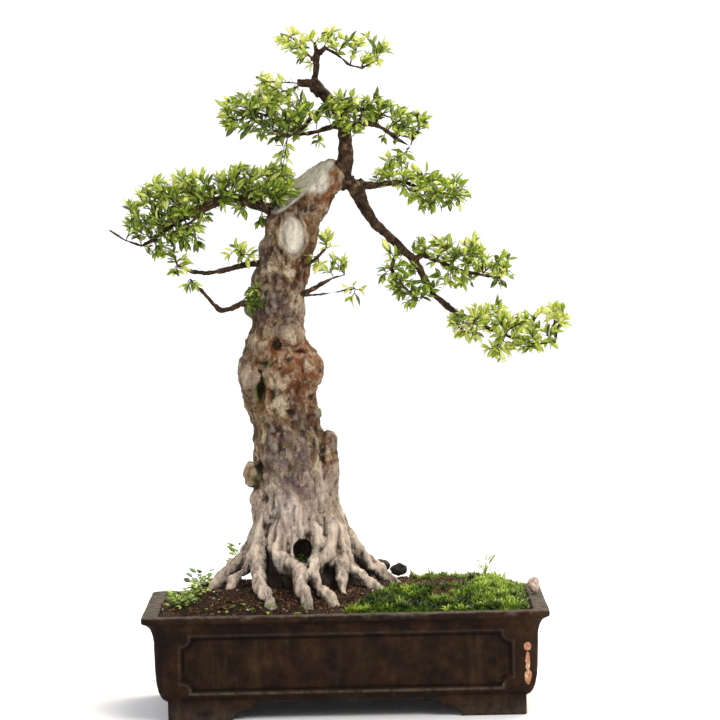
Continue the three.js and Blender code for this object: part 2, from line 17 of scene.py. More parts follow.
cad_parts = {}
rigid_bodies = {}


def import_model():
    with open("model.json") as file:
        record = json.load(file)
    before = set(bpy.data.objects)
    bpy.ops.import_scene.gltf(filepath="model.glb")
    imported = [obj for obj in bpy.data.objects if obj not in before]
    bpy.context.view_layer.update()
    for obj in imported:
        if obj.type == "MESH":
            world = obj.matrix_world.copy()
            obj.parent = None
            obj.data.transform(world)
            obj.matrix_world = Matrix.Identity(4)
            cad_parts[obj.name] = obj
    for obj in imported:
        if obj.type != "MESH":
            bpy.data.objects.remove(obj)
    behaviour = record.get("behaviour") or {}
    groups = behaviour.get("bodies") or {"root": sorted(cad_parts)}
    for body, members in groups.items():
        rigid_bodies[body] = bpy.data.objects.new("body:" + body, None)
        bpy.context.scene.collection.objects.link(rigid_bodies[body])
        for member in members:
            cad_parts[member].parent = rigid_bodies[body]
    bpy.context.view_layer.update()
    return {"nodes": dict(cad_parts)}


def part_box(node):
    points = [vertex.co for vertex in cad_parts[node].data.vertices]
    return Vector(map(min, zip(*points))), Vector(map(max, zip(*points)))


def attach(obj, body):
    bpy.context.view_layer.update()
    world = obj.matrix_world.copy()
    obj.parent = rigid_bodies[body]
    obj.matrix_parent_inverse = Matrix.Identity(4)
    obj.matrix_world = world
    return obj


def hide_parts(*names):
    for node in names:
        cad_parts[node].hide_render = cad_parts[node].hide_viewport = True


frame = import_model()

MM = 0.001
scene = bpy.context.scene
scene.view_settings.view_transform = "Standard"

# %% [markdown]
# The camera stands well back with a long lens, level with the crown, so the pot is seen a little from
# above. A slight roll tips the pot's long lines. It is made before anything else, because it decides which
# details matter.

# %% Camera
CAMERA_PLACE = (0.0245, -5.67, 0.714)
CAMERA_LENS = 226.6
CAMERA_DIP = 2.85
CAMERA_ROLL = -1.2

camera = bpy.data.objects.new("camera", bpy.data.cameras.new("camera"))
scene.collection.objects.link(camera)
camera.data.lens = CAMERA_LENS
camera.data.sensor_width = 36
camera.location = CAMERA_PLACE
dipped = Euler((math.radians(90 - CAMERA_DIP), 0, 0)).to_matrix()
rolled = Matrix.Rotation(math.radians(CAMERA_ROLL), 3, "Z")
camera.rotation_euler = (dipped @ rolled).to_euler()
scene.camera = camera
print("camera at", CAMERA_PLACE, "with a lens of", CAMERA_LENS, "mm")

# %% [markdown]
# Materials are small node trees. Two helpers keep them short: one turns the sRGB colour that a maker would
# read off a swatch into linear light, and one adds a node, sets it and links it in a single call. A key
# that starts with a capital letter, or a number, is a socket; any other key is a property of the node.

# %% Colour and node helpers
def linear(swatch):
    """The linear RGBA of an sRGB hex swatch."""
    channels = [int(swatch[i:i + 2], 16) / 255 for i in (1, 3, 5)]
    return (*[c / 12.92 if c <= 0.04045 else ((c + 0.055) / 1.055) ** 2.4 for c in channels], 1.0)


def add_node(tree, kind, settings=None, links=None):
    """A new node with its settings made and its inputs linked from other nodes or sockets."""
    node = tree.nodes.new(kind)
    for key, value in (settings or {}).items():
        if isinstance(key, int) or key[0].isupper():
            node.inputs[key].default_value = value
        else:
            setattr(node, key, value)
    for key, source in (links or {}).items():
        tree.links.new(source.outputs[0] if isinstance(source, bpy.types.Node) else source, node.inputs[key])
    return node


def new_material(name):
    """An empty node material and its tree."""
    material = bpy.data.materials.new(name)
    material.use_nodes = True
    material.node_tree.nodes.clear()
    return material, material.node_tree


def ramp(tree, source, stops):
    """A colour ramp through (position, swatch) stops."""
    node = add_node(tree, "ShaderNodeValToRGB", links={0: source})
    elements = node.color_ramp.elements
    while len(elements) < len(stops):
        elements.new(0.5)
    for element, (place, swatch) in zip(elements, stops):
        element.position = place
        element.color = linear(swatch)
    return node


def blend(tree, factor, below, above, mode="MIX"):
    """Two colours mixed by a factor; either may be a swatch or a node."""
    node = add_node(tree, "ShaderNodeMix", {"data_type": "RGBA", "blend_type": mode})
    for socket, value in ((0, factor), (6, below), (7, above)):
        if isinstance(value, str):
            node.inputs[socket].default_value = linear(value)
        elif isinstance(value, (int, float)):
            node.inputs[socket].default_value = value
        else:
            out = value.outputs[0] if isinstance(value, bpy.types.Node) else value
            tree.links.new(out, node.inputs[socket])
    return node.outputs[2]


def product(tree, *sources):
    """Sources multiplied together; any but the first may be a plain number."""
    result = sources[0]
    for source in sources[1:]:
        if isinstance(source, (int, float)):
            result = add_node(tree, "ShaderNodeMath", {"operation": "MULTIPLY", 1: source}, {0: result})
        else:
            result = add_node(tree, "ShaderNodeMath", {"operation": "MULTIPLY"}, {0: result, 1: source})
    return result


def end_material(tree, settings, links):
    """The surface shader and the output that every material ends with."""
    surface = add_node(tree, "ShaderNodeBsdfPrincipled", settings, links)
    add_node(tree, "ShaderNodeOutputMaterial", links={"Surface": surface})


print("a mid grey swatch is", round(linear("#808080")[0], 3), "in linear light")

# %% [markdown]
# The pot stands on a plain pale floor that curves up into a backdrop behind it, as in a small studio. Most
# of the light comes from a wide panel above and behind, which shines through the leaves, and a softer one
# in front keeps the bark and the dark clay readable.

# %% Floor, backdrop and light
FLOOR_HALF = 8.0
FLOOR_FRONT = -9.0
BEND_START = 6.6
BEND_RADIUS = 1.5
WALL_TOP = 9.0


def make_backdrop():
    """A floor that bends up into a wall, as one sheet."""
    profile = [(FLOOR_FRONT, 0.0)]
    for step in range(13):
        angle = step / 12 * math.pi / 2
        profile.append((BEND_START + BEND_RADIUS * math.sin(angle), BEND_RADIUS * (1 - math.cos(angle))))
    profile.append((BEND_START + BEND_RADIUS, WALL_TOP))
    vertices = [(x, y, z) for y, z in profile for x in (-FLOOR_HALF, FLOOR_HALF)]
    faces = [(2 * i, 2 * i + 1, 2 * i + 3, 2 * i + 2) for i in range(len(profile) - 1)]
    mesh = bpy.data.meshes.new("backdrop")
    mesh.from_pydata(vertices, [], faces)
    mesh.shade_smooth()
    backdrop = bpy.data.objects.new("backdrop", mesh)
    scene.collection.objects.link(backdrop)
    material, tree = new_material("white_painted_board")
    grain = add_node(tree, "ShaderNodeTexNoise", {"Scale": 3.0, "Detail": 2.0})
    shade = ramp(tree, grain, [(0.3, "#f2f2f4"), (0.7, "#f7f7f8")])
    end_material(tree, {"Roughness": 0.9, "Specular IOR Level": 0.1}, {"Base Color": shade})
    mesh.materials.append(material)


def add_panel_light(name, place, target, size, power, swatch):
    """A square light that faces a target, with its power in watts."""
    light = bpy.data.lights.new(name, "AREA")
    light.size = size
    light.energy = power
    light.color = linear(swatch)[:3]
    lamp = bpy.data.objects.new(name, light)
    scene.collection.objects.link(lamp)
    lamp.location = place
    lamp.rotation_euler = (Vector(target) - Vector(place)).to_track_quat("-Z", "Y").to_euler()
    print(f"{name}: {power} W, {size} m wide")


make_backdrop()
world = bpy.data.worlds.new("studio_air")
world.use_nodes = True
air = world.node_tree.nodes["Background"]
air.inputs["Color"].default_value = linear("#f8f8fa")
air.inputs["Strength"].default_value = 1.0
scene.world = world
MIDDLE = (0, 0, 0.45)
add_panel_light("panel_behind", (0.9, 1.6, 2.4), MIDDLE, 1.6, 80, "#fff6e0")
add_panel_light("panel_front", (1.5, -2.4, 2.3), MIDDLE, 1.4, 62, "#fffaf2")
add_panel_light("wall_wash", (0, 3.6, 4.6), (0, 8.0, 1.6), 4.0, 85, "#ffffff")

# %% [markdown]
# Every finished piece is added in the same way: its mesh holds its place, it rides on the one body, it stands
# for its plain solid, and it gets its finish as its one material.

# %% Piece helpers
def add_piece(name, mesh, material, stands_for=()):
    """Puts a finished mesh in the scene and ties it to the frame."""
    mesh.materials.clear()
    mesh.materials.append(material)
    mesh.shade_smooth()
    piece = bpy.data.objects.new(name, mesh)
    scene.collection.objects.link(piece)
    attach(piece, "root")
    if stands_for:
        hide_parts(*stands_for)
    print(f"{name}: {len(mesh.vertices)} points, {sum(len(p.vertices) - 2 for p in mesh.polygons)} triangles")
    return piece


def mesh_of(name, vertices, faces):
    """A mesh from lists of points and faces."""
    mesh = bpy.data.meshes.new(name)
    mesh.from_pydata([tuple(v) for v in vertices], [], faces)
    mesh.validate()
    return mesh


def merged_copy(node):
    """The mesh of a frame node with its loose triangles joined up."""
    shape = bmesh.new()
    shape.from_mesh(frame["nodes"][node].data)
    bmesh.ops.remove_doubles(shape, verts=shape.verts, dist=1e-6)
    mesh = bpy.data.meshes.new(node + "_copy")
    shape.to_mesh(mesh)
    shape.free()
    mesh.materials.clear()
    return mesh


def after_modifiers(mesh, *modifiers):
    """The mesh once each (kind, settings) modifier has acted on it."""
    worker = bpy.data.objects.new("worker", mesh)
    scene.collection.objects.link(worker)
    for kind, settings in modifiers:
        modifier = worker.modifiers.new(kind.lower(), kind)
        for key, value in settings.items():
            setattr(modifier, key, value)
    graph = bpy.context.evaluated_depsgraph_get()
    made = bpy.data.meshes.new_from_object(worker.evaluated_get(graph))
    bpy.data.objects.remove(worker)
    return made


def places_of(mesh):
    """Every point of a mesh as one row of an array."""
    co = np.zeros(len(mesh.vertices) * 3)
    mesh.vertices.foreach_get("co", co)
    return co.reshape(-1, 3)


def normals_of(mesh):
    """The normal at every point of a mesh."""
    no = np.zeros(len(mesh.vertices) * 3)
    mesh.vertex_normals.foreach_get("vector", no)
    return no.reshape(-1, 3)


def set_places(mesh, co):
    """Moves every point of a mesh to a new place."""
    mesh.vertices.foreach_set("co", co.ravel())
    mesh.update()


def paint(mesh, name, values):
    """Stores one number at each point, for a material to read."""
    layer = mesh.attributes.new(name, "FLOAT", "POINT")
    layer.data.foreach_set("value", np.asarray(values, np.float32))


def smooth_step(value, low, high):
    """0 below low, 1 above high, and an easy curve between."""
    t = np.clip((value - low) / (high - low), 0, 1)
    return t * t * (3 - 2 * t)


def noise_at(co, size, octaves=3, stretch=(1, 1, 1), shift=0.0):
    """Smooth noise about zero at each point. Size is the width of its features in metres."""
    scaled = co / (size * np.array(stretch)) + shift
    return np.array([noise.fractal(Vector(p), 1.0, 2.0, octaves) for p in scaled])


# %% [markdown]
# The pot is one piece of unglazed stoneware: a mould-pressed box with a thick rim, panels pressed into its
# sides and bracket feet. Its wall is a rule, the same section carried round a rectangle with rounded
# corners, so it is made as rings of points from the floor of the foot, up the outside, over the rim and
# down the inside. The panel groove and bead are then pressed into the rings as a depth that depends on the
# distance to the panel's outline.

# %% Pot sizes, from the frame
_, POT_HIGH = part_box("pot")
RIM_HALF = np.array([POT_HIGH.x, POT_HIGH.y])
RIM_TOP = POT_HIGH.z
FOOT_TOP = 22 * MM
PANEL_MARGIN = 48 * MM
PANEL_LOW = 36 * MM
PANEL_HIGH = 103 * MM
NOTCH = 13 * MM
PRESSED_HEIGHTS = (27, 119)
# Height and inset from the rim's outer edge, in millimetres: from underneath, up over the rim, down inside.
WALL_SECTION = [
    (22, 60), (22, 40), (22.4, 34), (23.5, 28.5), (26, 24.5), (30, 21.6), (36, 19), (46, 17), (62, 16),
    (96, 15), (104, 14.2), (110, 12.6), (114.5, 10.6), (117.5, 8.4), (119.5, 6), (120.6, 3), (121.6, 1),
    (123.2, 0.1), (125.5, 0), (127.8, 0.2), (129.2, 0.9), (129.9, 2.2), (130, 4), (129.7, 10),
    (129.9, 16), (129.6, 18.5), (128.4, 19.8), (126, 20.3), (118, 21), (100, 27), (60, 29), (40, 34),
    (34, 40), (34, 60),
]


def finer(section, step):
    """More points along a section, no further apart than a step, in (height, inset) millimetres."""
    made = [section[0]]
    for a, b in zip(section, section[1:]):
        count = max(1, math.ceil(math.dist(a, b) / step))
        made += [tuple(np.add(a, np.subtract(b, a) * (i / count))) for i in range(1, count + 1)]
    return made


def side_shares(axis):
    """Where points go along a side, from -1 to 1: every 4.5 mm, or 1.5 mm near the ends of the panel."""
    reach = RIM_HALF[axis] - 30 * MM
    end = RIM_HALF[axis] - PANEL_MARGIN
    near = np.arange(end - 18 * MM, end + 7 * MM, 1.5 * MM)
    middle = np.linspace(0, near[0], round(near[0] / (4.5 * MM)), endpoint=False)[1:]
    outer = np.linspace(near[-1], reach, 4)[1:-1]
    half = np.concatenate([middle, near, outer]) / reach
    return np.concatenate([-half[::-1], [0], half])


print("section:", len(WALL_SECTION), "points; sides:", [len(side_shares(axis)) for axis in (0, 1)])

# %% [markdown]
# The wall is the section carried round the rectangle. The groove and the bead of the panels are pressed
# into the straight sides only, as a depth that depends on the distance to a rectangle with notched corners.

# %% The pot wall
CORNERS = np.array([(1, 1), (-1, 1), (-1, -1), (1, -1)])


def rounded_rectangle(half, corner):
    """Points round a rectangle, with the direction outwards at each, always in the same number."""
    points, outward = [], []
    for quarter in range(4):
        centre = CORNERS[quarter] * (half - corner)
        for step in range(7):
            angle = (quarter + step / 6) * math.pi / 2
            outward.append((math.cos(angle), math.sin(angle)))
            points.append(centre + corner * np.array(outward[-1]))
        angle = (quarter + 1) * math.pi / 2
        away = np.array((math.cos(angle), math.sin(angle)))
        target = CORNERS[(quarter + 1) % 4] * (half - corner) + corner * away
        start = points[-1]
        for share in side_shares(quarter % 2):
            points.append(start + (target - start) * (share + 1) / 2)
            outward.append(away)
    return np.array(points), np.array(outward)


def panel_press(along, height, half_length):
    """How far the wall stands in (+) or out (-) near the notched outline of a panel, in metres."""
    reach = np.abs(along) - half_length
    rise = np.abs(height - (PANEL_LOW + PANEL_HIGH) / 2) - (PANEL_HIGH - PANEL_LOW) / 2
    outside = np.hypot(np.maximum(reach, 0), np.maximum(rise, 0)) + np.minimum(np.maximum(reach, rise), 0)
    notch = NOTCH - np.hypot(reach, rise)
    edge = np.maximum(outside, notch) / MM
    field = 1.8 * (1 - smooth_step(edge, -1.5, 0.5))
    groove = 2.4 * np.exp(-((edge + 1.7) / 1.6) ** 2)
    bead = -1.4 * np.exp(-((edge - 2.6) / 2.0) ** 2)
    return (field + groove + bead) * MM


def make_pot_wall():
    """The wall and floor of the pot as one closed body, without feet."""
    outside = finer(WALL_SECTION[2:-6], 1.9)
    section = WALL_SECTION[:2] + outside + finer(WALL_SECTION[-6:-2], 9)[1:] + WALL_SECTION[-2:]
    rings = []
    for height, inset in section:
        half = RIM_HALF - inset * MM
        ring, outward = rounded_rectangle(half, max(14 - inset * 0.2, 5) * MM)
        z = height * MM
        if inset < 22 and PRESSED_HEIGHTS[0] < height < PRESSED_HEIGHTS[1]:
            for axis in (0, 1):
                flat = np.abs(outward[:, 1 - axis]) > 0.999
                press = panel_press(ring[:, axis], z, RIM_HALF[axis] - PANEL_MARGIN)
                ring[flat] -= outward[flat] * press[flat][:, None]
        rings.append(np.column_stack([ring, np.full(len(ring), z)]))
    count = len(rings[0])
    vertices = np.concatenate(rings)
    faces = []
    for r in range(len(rings) - 1):
        a = r * count + np.arange(count)
        b = r * count + (np.arange(count) + 1) % count
        faces += np.column_stack([a, b, b + count, a + count]).tolist()
    faces.append(list(range(count))[::-1])
    last = (len(rings) - 1) * count
    faces.append(list(range(last, last + count)))
    return mesh_of("pot_wall", vertices, faces)


pot_wall = make_pot_wall()
print("pot wall:", len(pot_wall.vertices), "points")

# %% [markdown]
# The four feet are brackets that wrap the corners. Seen from the front each is a wing whose underside steps
# up in a scroll towards the middle. A wing is an outline pushed through the foot's thickness, with its
# edges rounded. Eight wings are joined to the wall with a boolean, and the two drain holes are cut, so the
# pot stays one body.

# %% Feet and drain holes
FOOT_THICKNESS = 16 * MM
FOOT_CORNER = RIM_HALF - np.array((30, 24)) * MM
WING_RUN = (109 * MM, 80 * MM)
DRAIN_RADIUS = 14 * MM


def curve_through(start, handle, end, count=7):
    """Points on a curve that leaves its start and reaches its end along the lines to a handle."""
    t = np.linspace(0, 1, count)[:, None]
    return ((1 - t) ** 2 * start + 2 * t * (1 - t) * handle + t ** 2 * end).tolist()


def wing_outline(run):
    """Distance from the corner and height of each point of a wing's outline, in metres."""
    tip = run / MM
    upper_scroll = np.array([(tip, 21.5), (tip - 3, 13.5), (tip - 13, 13)])
    lower_scroll = np.array([(tip - 21, 12), (tip - 27.5, 10), (tip - 29, 0)])
    outline = [(2, 0), (0.5, 3), (0, 26), (tip, 26), (tip, 21.5)]
    outline += curve_through(*upper_scroll)[1:]
    outline += curve_through(*lower_scroll)
    return np.array(outline) * MM


def make_wing(axis, side, far):
    """One wing along an axis (0 is X, 1 is Y), on one side of it, at the near or far wall."""
    outline = wing_outline(WING_RUN[axis])
    along = side * (FOOT_CORNER[axis] - outline[:, 0])
    other = 1 - axis
    vertices = []
    for depth in (FOOT_CORNER[other], FOOT_CORNER[other] - FOOT_THICKNESS):
        layer = np.zeros((len(outline), 3))
        layer[:, axis] = along
        layer[:, other] = far * depth
        layer[:, 2] = outline[:, 1]
        vertices += layer.tolist()
    n = len(outline)
    faces = [list(range(n)), list(range(2 * n - 1, n - 1, -1))]
    faces += [[i, i + n, (i + 1) % n + n, (i + 1) % n] for i in range(n)]
    mesh = mesh_of("wing", vertices, faces)
    solid = bmesh.new()
    solid.from_mesh(mesh)
    bmesh.ops.recalc_face_normals(solid, faces=solid.faces)
    solid.to_mesh(mesh)
    solid.free()
    return after_modifiers(mesh, ("BEVEL", {"width": 1.6 * MM, "segments": 3, "limit_method": "ANGLE"}))


def make_drain(side):
    """The plug that cuts one drain hole."""
    hole = bmesh.new()
    bmesh.ops.create_cone(
        hole, cap_ends=True, segments=40, radius1=DRAIN_RADIUS, radius2=DRAIN_RADIUS, depth=30 * MM
    )
    low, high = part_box("drain_screen_right")
    bmesh.ops.translate(hole, verts=hole.verts, vec=(side * (low.x + high.x) / 2, 0, FOOT_TOP + 6 * MM))
    mesh = bpy.data.meshes.new("drain")
    hole.to_mesh(mesh)
    hole.free()
    return mesh


def gathered(name, meshes):
    """A collection of one object for each mesh, to be used by a boolean."""
    collection = bpy.data.collections.new(name)
    for mesh in meshes:
        collection.objects.link(bpy.data.objects.new(name, mesh))
    return collection


def scrap(collection):
    """Removes the boolean's tools once they have been used."""
    for tool in list(collection.objects):
        bpy.data.objects.remove(tool)
    bpy.data.collections.remove(collection)


BOTH = (-1, 1)
wings = gathered("wings", [make_wing(axis, side, far) for axis in (0, 1) for side in BOTH for far in BOTH])
drains = gathered("drains", [make_drain(side) for side in BOTH])
by_group = {"operand_type": "COLLECTION", "solver": "MANIFOLD"}
pot_mesh = after_modifiers(
    pot_wall,
    ("BOOLEAN", {"operation": "UNION", "collection": wings, **by_group}),
    ("BOOLEAN", {"operation": "DIFFERENCE", "collection": drains, **by_group}),
)
scrap(wings)
scrap(drains)
print("pot with feet and drain holes:", len(pot_mesh.vertices), "points")

# %% [markdown]
# Hand-pressed clay is never quite straight: the walls bow by a fraction of a millimetre and the rim dips
# where it slumped in the kiln. Small knocks have taken grains out of the sharp edges.

# %% Slump and knocks
def wear_pot(mesh):
    """Bows the walls, knocks the edges, and paints where the clay is worn pale, with a painted highlight on
    the lower panel bead and painted shade in the panel grooves.
    """
    co, no = places_of(mesh), normals_of(mesh)
    slump = noise_at(co, 90 * MM, 2)
    pits = noise_at(co, 7 * MM, 2, shift=3.7)
    edge = np.exp(-((co[:, 2] - RIM_TOP) / (4 * MM)) ** 2)
    knocks = smooth_step(noise_at(co, 16 * MM, 3, shift=9.1), 0.25, 0.6) * edge
    co = co + no * ((slump * 0.5 + pits * 0.12) * MM - knocks * 0.9 * MM)[:, None]
    co[:, 2] = np.maximum(co[:, 2], 0)
    co[:, :2] = np.clip(co[:, :2], -RIM_HALF, RIM_HALF)
    set_places(mesh, co)
    top = smooth_step(co[:, 2], RIM_TOP - 2.2 * MM, RIM_TOP - 0.6 * MM)
    faces_front = np.abs(no[:, 1]) > np.abs(no[:, 0])
    along = np.where(faces_front, co[:, 0], co[:, 1])
    pressed = panel_press(along, co[:, 2], np.where(faces_front, *(RIM_HALF - PANEL_MARGIN))) / MM
    low, high = np.array(PRESSED_HEIGHTS) * MM
    upright = (np.abs(no[:, 2]) < 0.85) & (co[:, 2] > low) & (co[:, 2] < high)
    # The raised beads are worn lighter; the lower bead, which faces up, gets much more as a painted
    # highlight.
    bead = smooth_step(-pressed, 0.3, 1.4) * upright * np.where(co[:, 2] < PANEL_LOW + 4 * MM, 0.85, 0.25)
    feet = 1 - smooth_step(co[:, 2], 6 * MM, 20 * MM)
    # Worn rim, beads, feet and knocks, together with the painted highlight on the lower bead.
    paint(mesh, "rubbed", np.clip(top + bead + 0.35 * feet + knocks, 0, 1))
    # The grooves round the panels get painted shade.
    paint(mesh, "sunk", smooth_step(pressed, 2.3, 3.8) * upright)


wear_pot(pot_mesh)
print("the worn rim is", round(places_of(pot_mesh)[:, 2].max() / MM, 1), "mm above the floor")

# %% [markdown]
# Unglazed stoneware is dark brown where the fire reduced it and greyer where hands, water and weather have
# rubbed it. The eye should see cloudy patches a few centimetres wide, faint runs of lime down the walls, a
# sandy grain of about a millimetre, a dry surface with only a dull sheen, and one pale flake near a corner.
# The raised beads round the panels are worn lighter, and the lower one, which faces up, is much lighter as a
# painted highlight; the grooves round the panels are darker as painted shade.

# %% Unglazed stoneware
def make_stoneware():
    """Dark clay with cloudy patches, runs of lime, worn edges, a painted highlight on the lower bead, painted
    shade in the panel grooves and one pale flake.
    """
    material, tree = new_material("unglazed_reduced_stoneware")
    place = add_node(tree, "ShaderNodeTexCoord").outputs["Object"]
    coarse = {"Scale": 1 / 0.03, "Detail": 6.0, "Roughness": 0.68}
    clouds = add_node(tree, "ShaderNodeTexNoise", coarse, {"Vector": place})
    body = ramp(tree, clouds, [(0.3, "#140b06"), (0.44, "#24160d"), (0.57, "#342214"), (0.72, "#4a3322")])
    streaked = add_node(tree, "ShaderNodeMapping", {"Scale": (90, 90, 9)}, {"Vector": place})
    runs = add_node(tree, "ShaderNodeTexNoise", {"Scale": 1.0, "Detail": 3.0}, {"Vector": streaked})
    lime = add_node(tree, "ShaderNodeMapRange", {"From Min": 0.56, "From Max": 0.78}, {"Value": runs})
    limed = blend(tree, product(tree, lime, 0.22), body, "#5d4c36")
    grain = add_node(tree, "ShaderNodeTexNoise", {"Scale": 1 / 0.0016, "Detail": 2.0}, {"Vector": place})
    sandy = blend(tree, 0.4, limed, ramp(tree, grain, [(0.35, "#15100c"), (0.7, "#6a5a48")]), "OVERLAY")
    middling = {"Scale": 1 / 0.012, "Detail": 4.0, "Roughness": 0.7}
    patchy = add_node(tree, "ShaderNodeTexNoise", middling, {"Vector": place})
    bare_spots = add_node(tree, "ShaderNodeMapRange", {"From Min": 0.3, "From Max": 0.62}, {"Value": patchy})
    rubbed = add_node(tree, "ShaderNodeAttribute", {"attribute_name": "rubbed"}).outputs["Fac"]
    sunk = add_node(tree, "ShaderNodeAttribute", {"attribute_name": "sunk"}).outputs["Fac"]
    rub_and_highlight_noise = product(tree, rubbed, bare_spots)
    # The panel grooves are darkened here as painted shade.
    groove_shaded_clay = blend(tree, product(tree, sunk, 0.8), sandy, "#0c0705")
    # Lighter where the clay is worn, and on the lower bead as a painted highlight.
    worn = blend(tree, product(tree, rub_and_highlight_noise, 0.6), groove_shaded_clay, "#71665a")
    scab = ramp(tree, patchy, [(0.36, "#8a5a40"), (0.5, "#ad7c5c"), (0.62, "#d3c3b4")])
    chipped = blend(tree, flake_mask(tree, place), worn, scab)
    height = add_node(tree, "ShaderNodeMath", {"operation": "ADD"}, {0: grain, 1: patchy})
    sheen = add_node(tree, "ShaderNodeMapRange", {"To Min": 0.62, "To Max": 0.9}, {"Value": clouds})
    bump = add_node(tree, "ShaderNodeBump", {"Strength": 0.35, "Distance": 0.0008}, {"Height": height})
    end_material(tree, {"IOR": 1.5, "Specular IOR Level": 0.1}, {
        "Base Color": chipped, "Roughness": sheen, "Normal": bump,
    })
    return material


# Height, half width and half height of each drop, in millimetres.
GLAZE_DROPS = ((85, 4.6, 5), (66, 2.6, 13), (47, 4.2, 9))


def flake_mask(tree, place):
    """A long pale flake on the front wall near the right-hand corner, where drops of kiln glaze stuck."""
    right, front = RIM_HALF[0] - 28 * MM, -RIM_HALF[1] + 16 * MM
    total = None
    for height, half_width, half_height in GLAZE_DROPS:
        centre = (right, front, height * MM)
        size = (half_width * MM, 0.02, half_height * MM)
        moved = add_node(tree, "ShaderNodeVectorMath", {"operation": "SUBTRACT", 1: centre}, {0: place})
        scaled = add_node(tree, "ShaderNodeVectorMath", {"operation": "DIVIDE", 1: size}, {0: moved})
        length = add_node(tree, "ShaderNodeVectorMath", {"operation": "LENGTH"}, {0: scaled}).outputs["Value"]
        ragged = add_node(tree, "ShaderNodeTexNoise", {"Scale": 1 / 0.005, "Detail": 3.0}, {"Vector": place})
        rough_edge = add_node(tree, "ShaderNodeMath", {"operation": "MULTIPLY_ADD", 1: 0.9}, {
            0: ragged, 2: length,
        })
        fade = {"From Min": 1.55, "From Max": 1.35}
        spot = add_node(tree, "ShaderNodeMapRange", fade, {"Value": rough_edge})
        if total is None:
            total = spot
        else:
            total = add_node(tree, "ShaderNodeMath", {"operation": "MAXIMUM"}, {0: total, 1: spot})
    return total


add_piece("stoneware_pot", pot_mesh, make_stoneware(), ["pot"])

# %% [markdown]
# Two hidden things under the soil keep it in: plastic screens over the drain holes, each held by an
# aluminium wire staple bent over under the pot. Their frame solids already have the right shape, so they
# only need a finish.

# %% Screens and staples
def make_plain_finish(name, swatch, second, width, **settings):
    """A finish with a soft colour variation of a given width in metres."""
    material, tree = new_material(name)
    place = add_node(tree, "ShaderNodeTexCoord").outputs["Object"]
    variation = add_node(tree, "ShaderNodeTexNoise", {"Scale": 1 / width, "Detail": 3.0}, {"Vector": place})
    colour = ramp(tree, variation, [(0.35, swatch), (0.65, second)])
    bump = add_node(tree, "ShaderNodeBump", {"Strength": 0.2, "Distance": 0.0004}, {"Height": variation})
    end_material(tree, settings, {"Base Color": colour, "Normal": bump})
    return material


screen_plastic = make_plain_finish("moulded_polyethylene_mesh", "#16191a", "#23282a", 0.004, Roughness=0.55)
staple_wire = make_plain_finish(
    "drawn_aluminium_wire", "#8f8f8d", "#b0b0ad", 0.002, Roughness=0.38, Metallic=1.0,
)
for side in ("left", "right"):
    for node, finish in ((f"drain_screen_{side}", screen_plastic), (f"screen_wire_{side}", staple_wire)):
        frame["nodes"][node].data.materials.clear()
        frame["nodes"][node].data.materials.append(finish)
        print(node, "is finished as", finish.name)

# %% [markdown]
# The trunk is old wood that was cut back more than once. Its plain solid gives the lean, the roots and the
# large swellings. A voxel remesh joins these into one skin of small even faces, which are then pushed along
# their normals: broad lumps, long flutes that run down into the roots, plates of flaking bark, cracks, and
# each healed wound in its own place. Wounds are given by where they show from the front, and a ray finds
# the bark there.

# %% Meeting the trunk
def skin_of(node):
    """A node's plain solid, ready to be met by rays and asked for its nearest point."""
    mesh = frame["nodes"][node].data
    return BVHTree.FromPolygons([v.co for v in mesh.vertices], [p.vertices[:] for p in mesh.polygons])


def drop(skin, x, y):
    """Where something dropped from high above meets a skin, and the normal there."""
    return skin.ray_cast(Vector((x, y, 0.6)), Vector((0, 0, -1)))[:2]


trunk_skin = skin_of("trunk")


def on_trunk(x, z):
    """The point of bark seen at a distance from the middle and a height, in millimetres."""
    start = Vector((x * MM, -0.4, z * MM))
    hit = trunk_skin.ray_cast(start, Vector((0, 1, 0)))[0]
    return np.array(hit if hit else trunk_skin.find_nearest(Vector((x * MM, 0, z * MM)))[0])


def around(co, x, z, half_width, half_height):
    """1 at a mark on the front of the trunk, fading to 0 outside it; the mark is an oval in millimetres."""
    away = (co - on_trunk(x, z)) / (np.array((half_width, half_width, half_height)) * MM)
    return np.exp(-(away ** 2).sum(1))


print("the front of the trunk at half height:", on_trunk(-62, 400).round(3))

# %% [markdown]
# Wounds and swellings are listed by where they show from the front. The sawn top and the healed scar each
# have a place of their own, because the bark stops at them: the wood there is smooth, and a lip of new bark
# has rolled in over its edge.

# %% Trunk form
SAWN_POINT = np.array((-28, -8, 660)) * MM
SAWN_NORMAL = np.array((-0.52, -0.52, 0.68)) / np.linalg.norm((0.52, 0.52, 0.68))
SCAR_MIDDLE = (-56 * MM, 590 * MM)
SCAR_HALF = (15 * MM, 25 * MM)
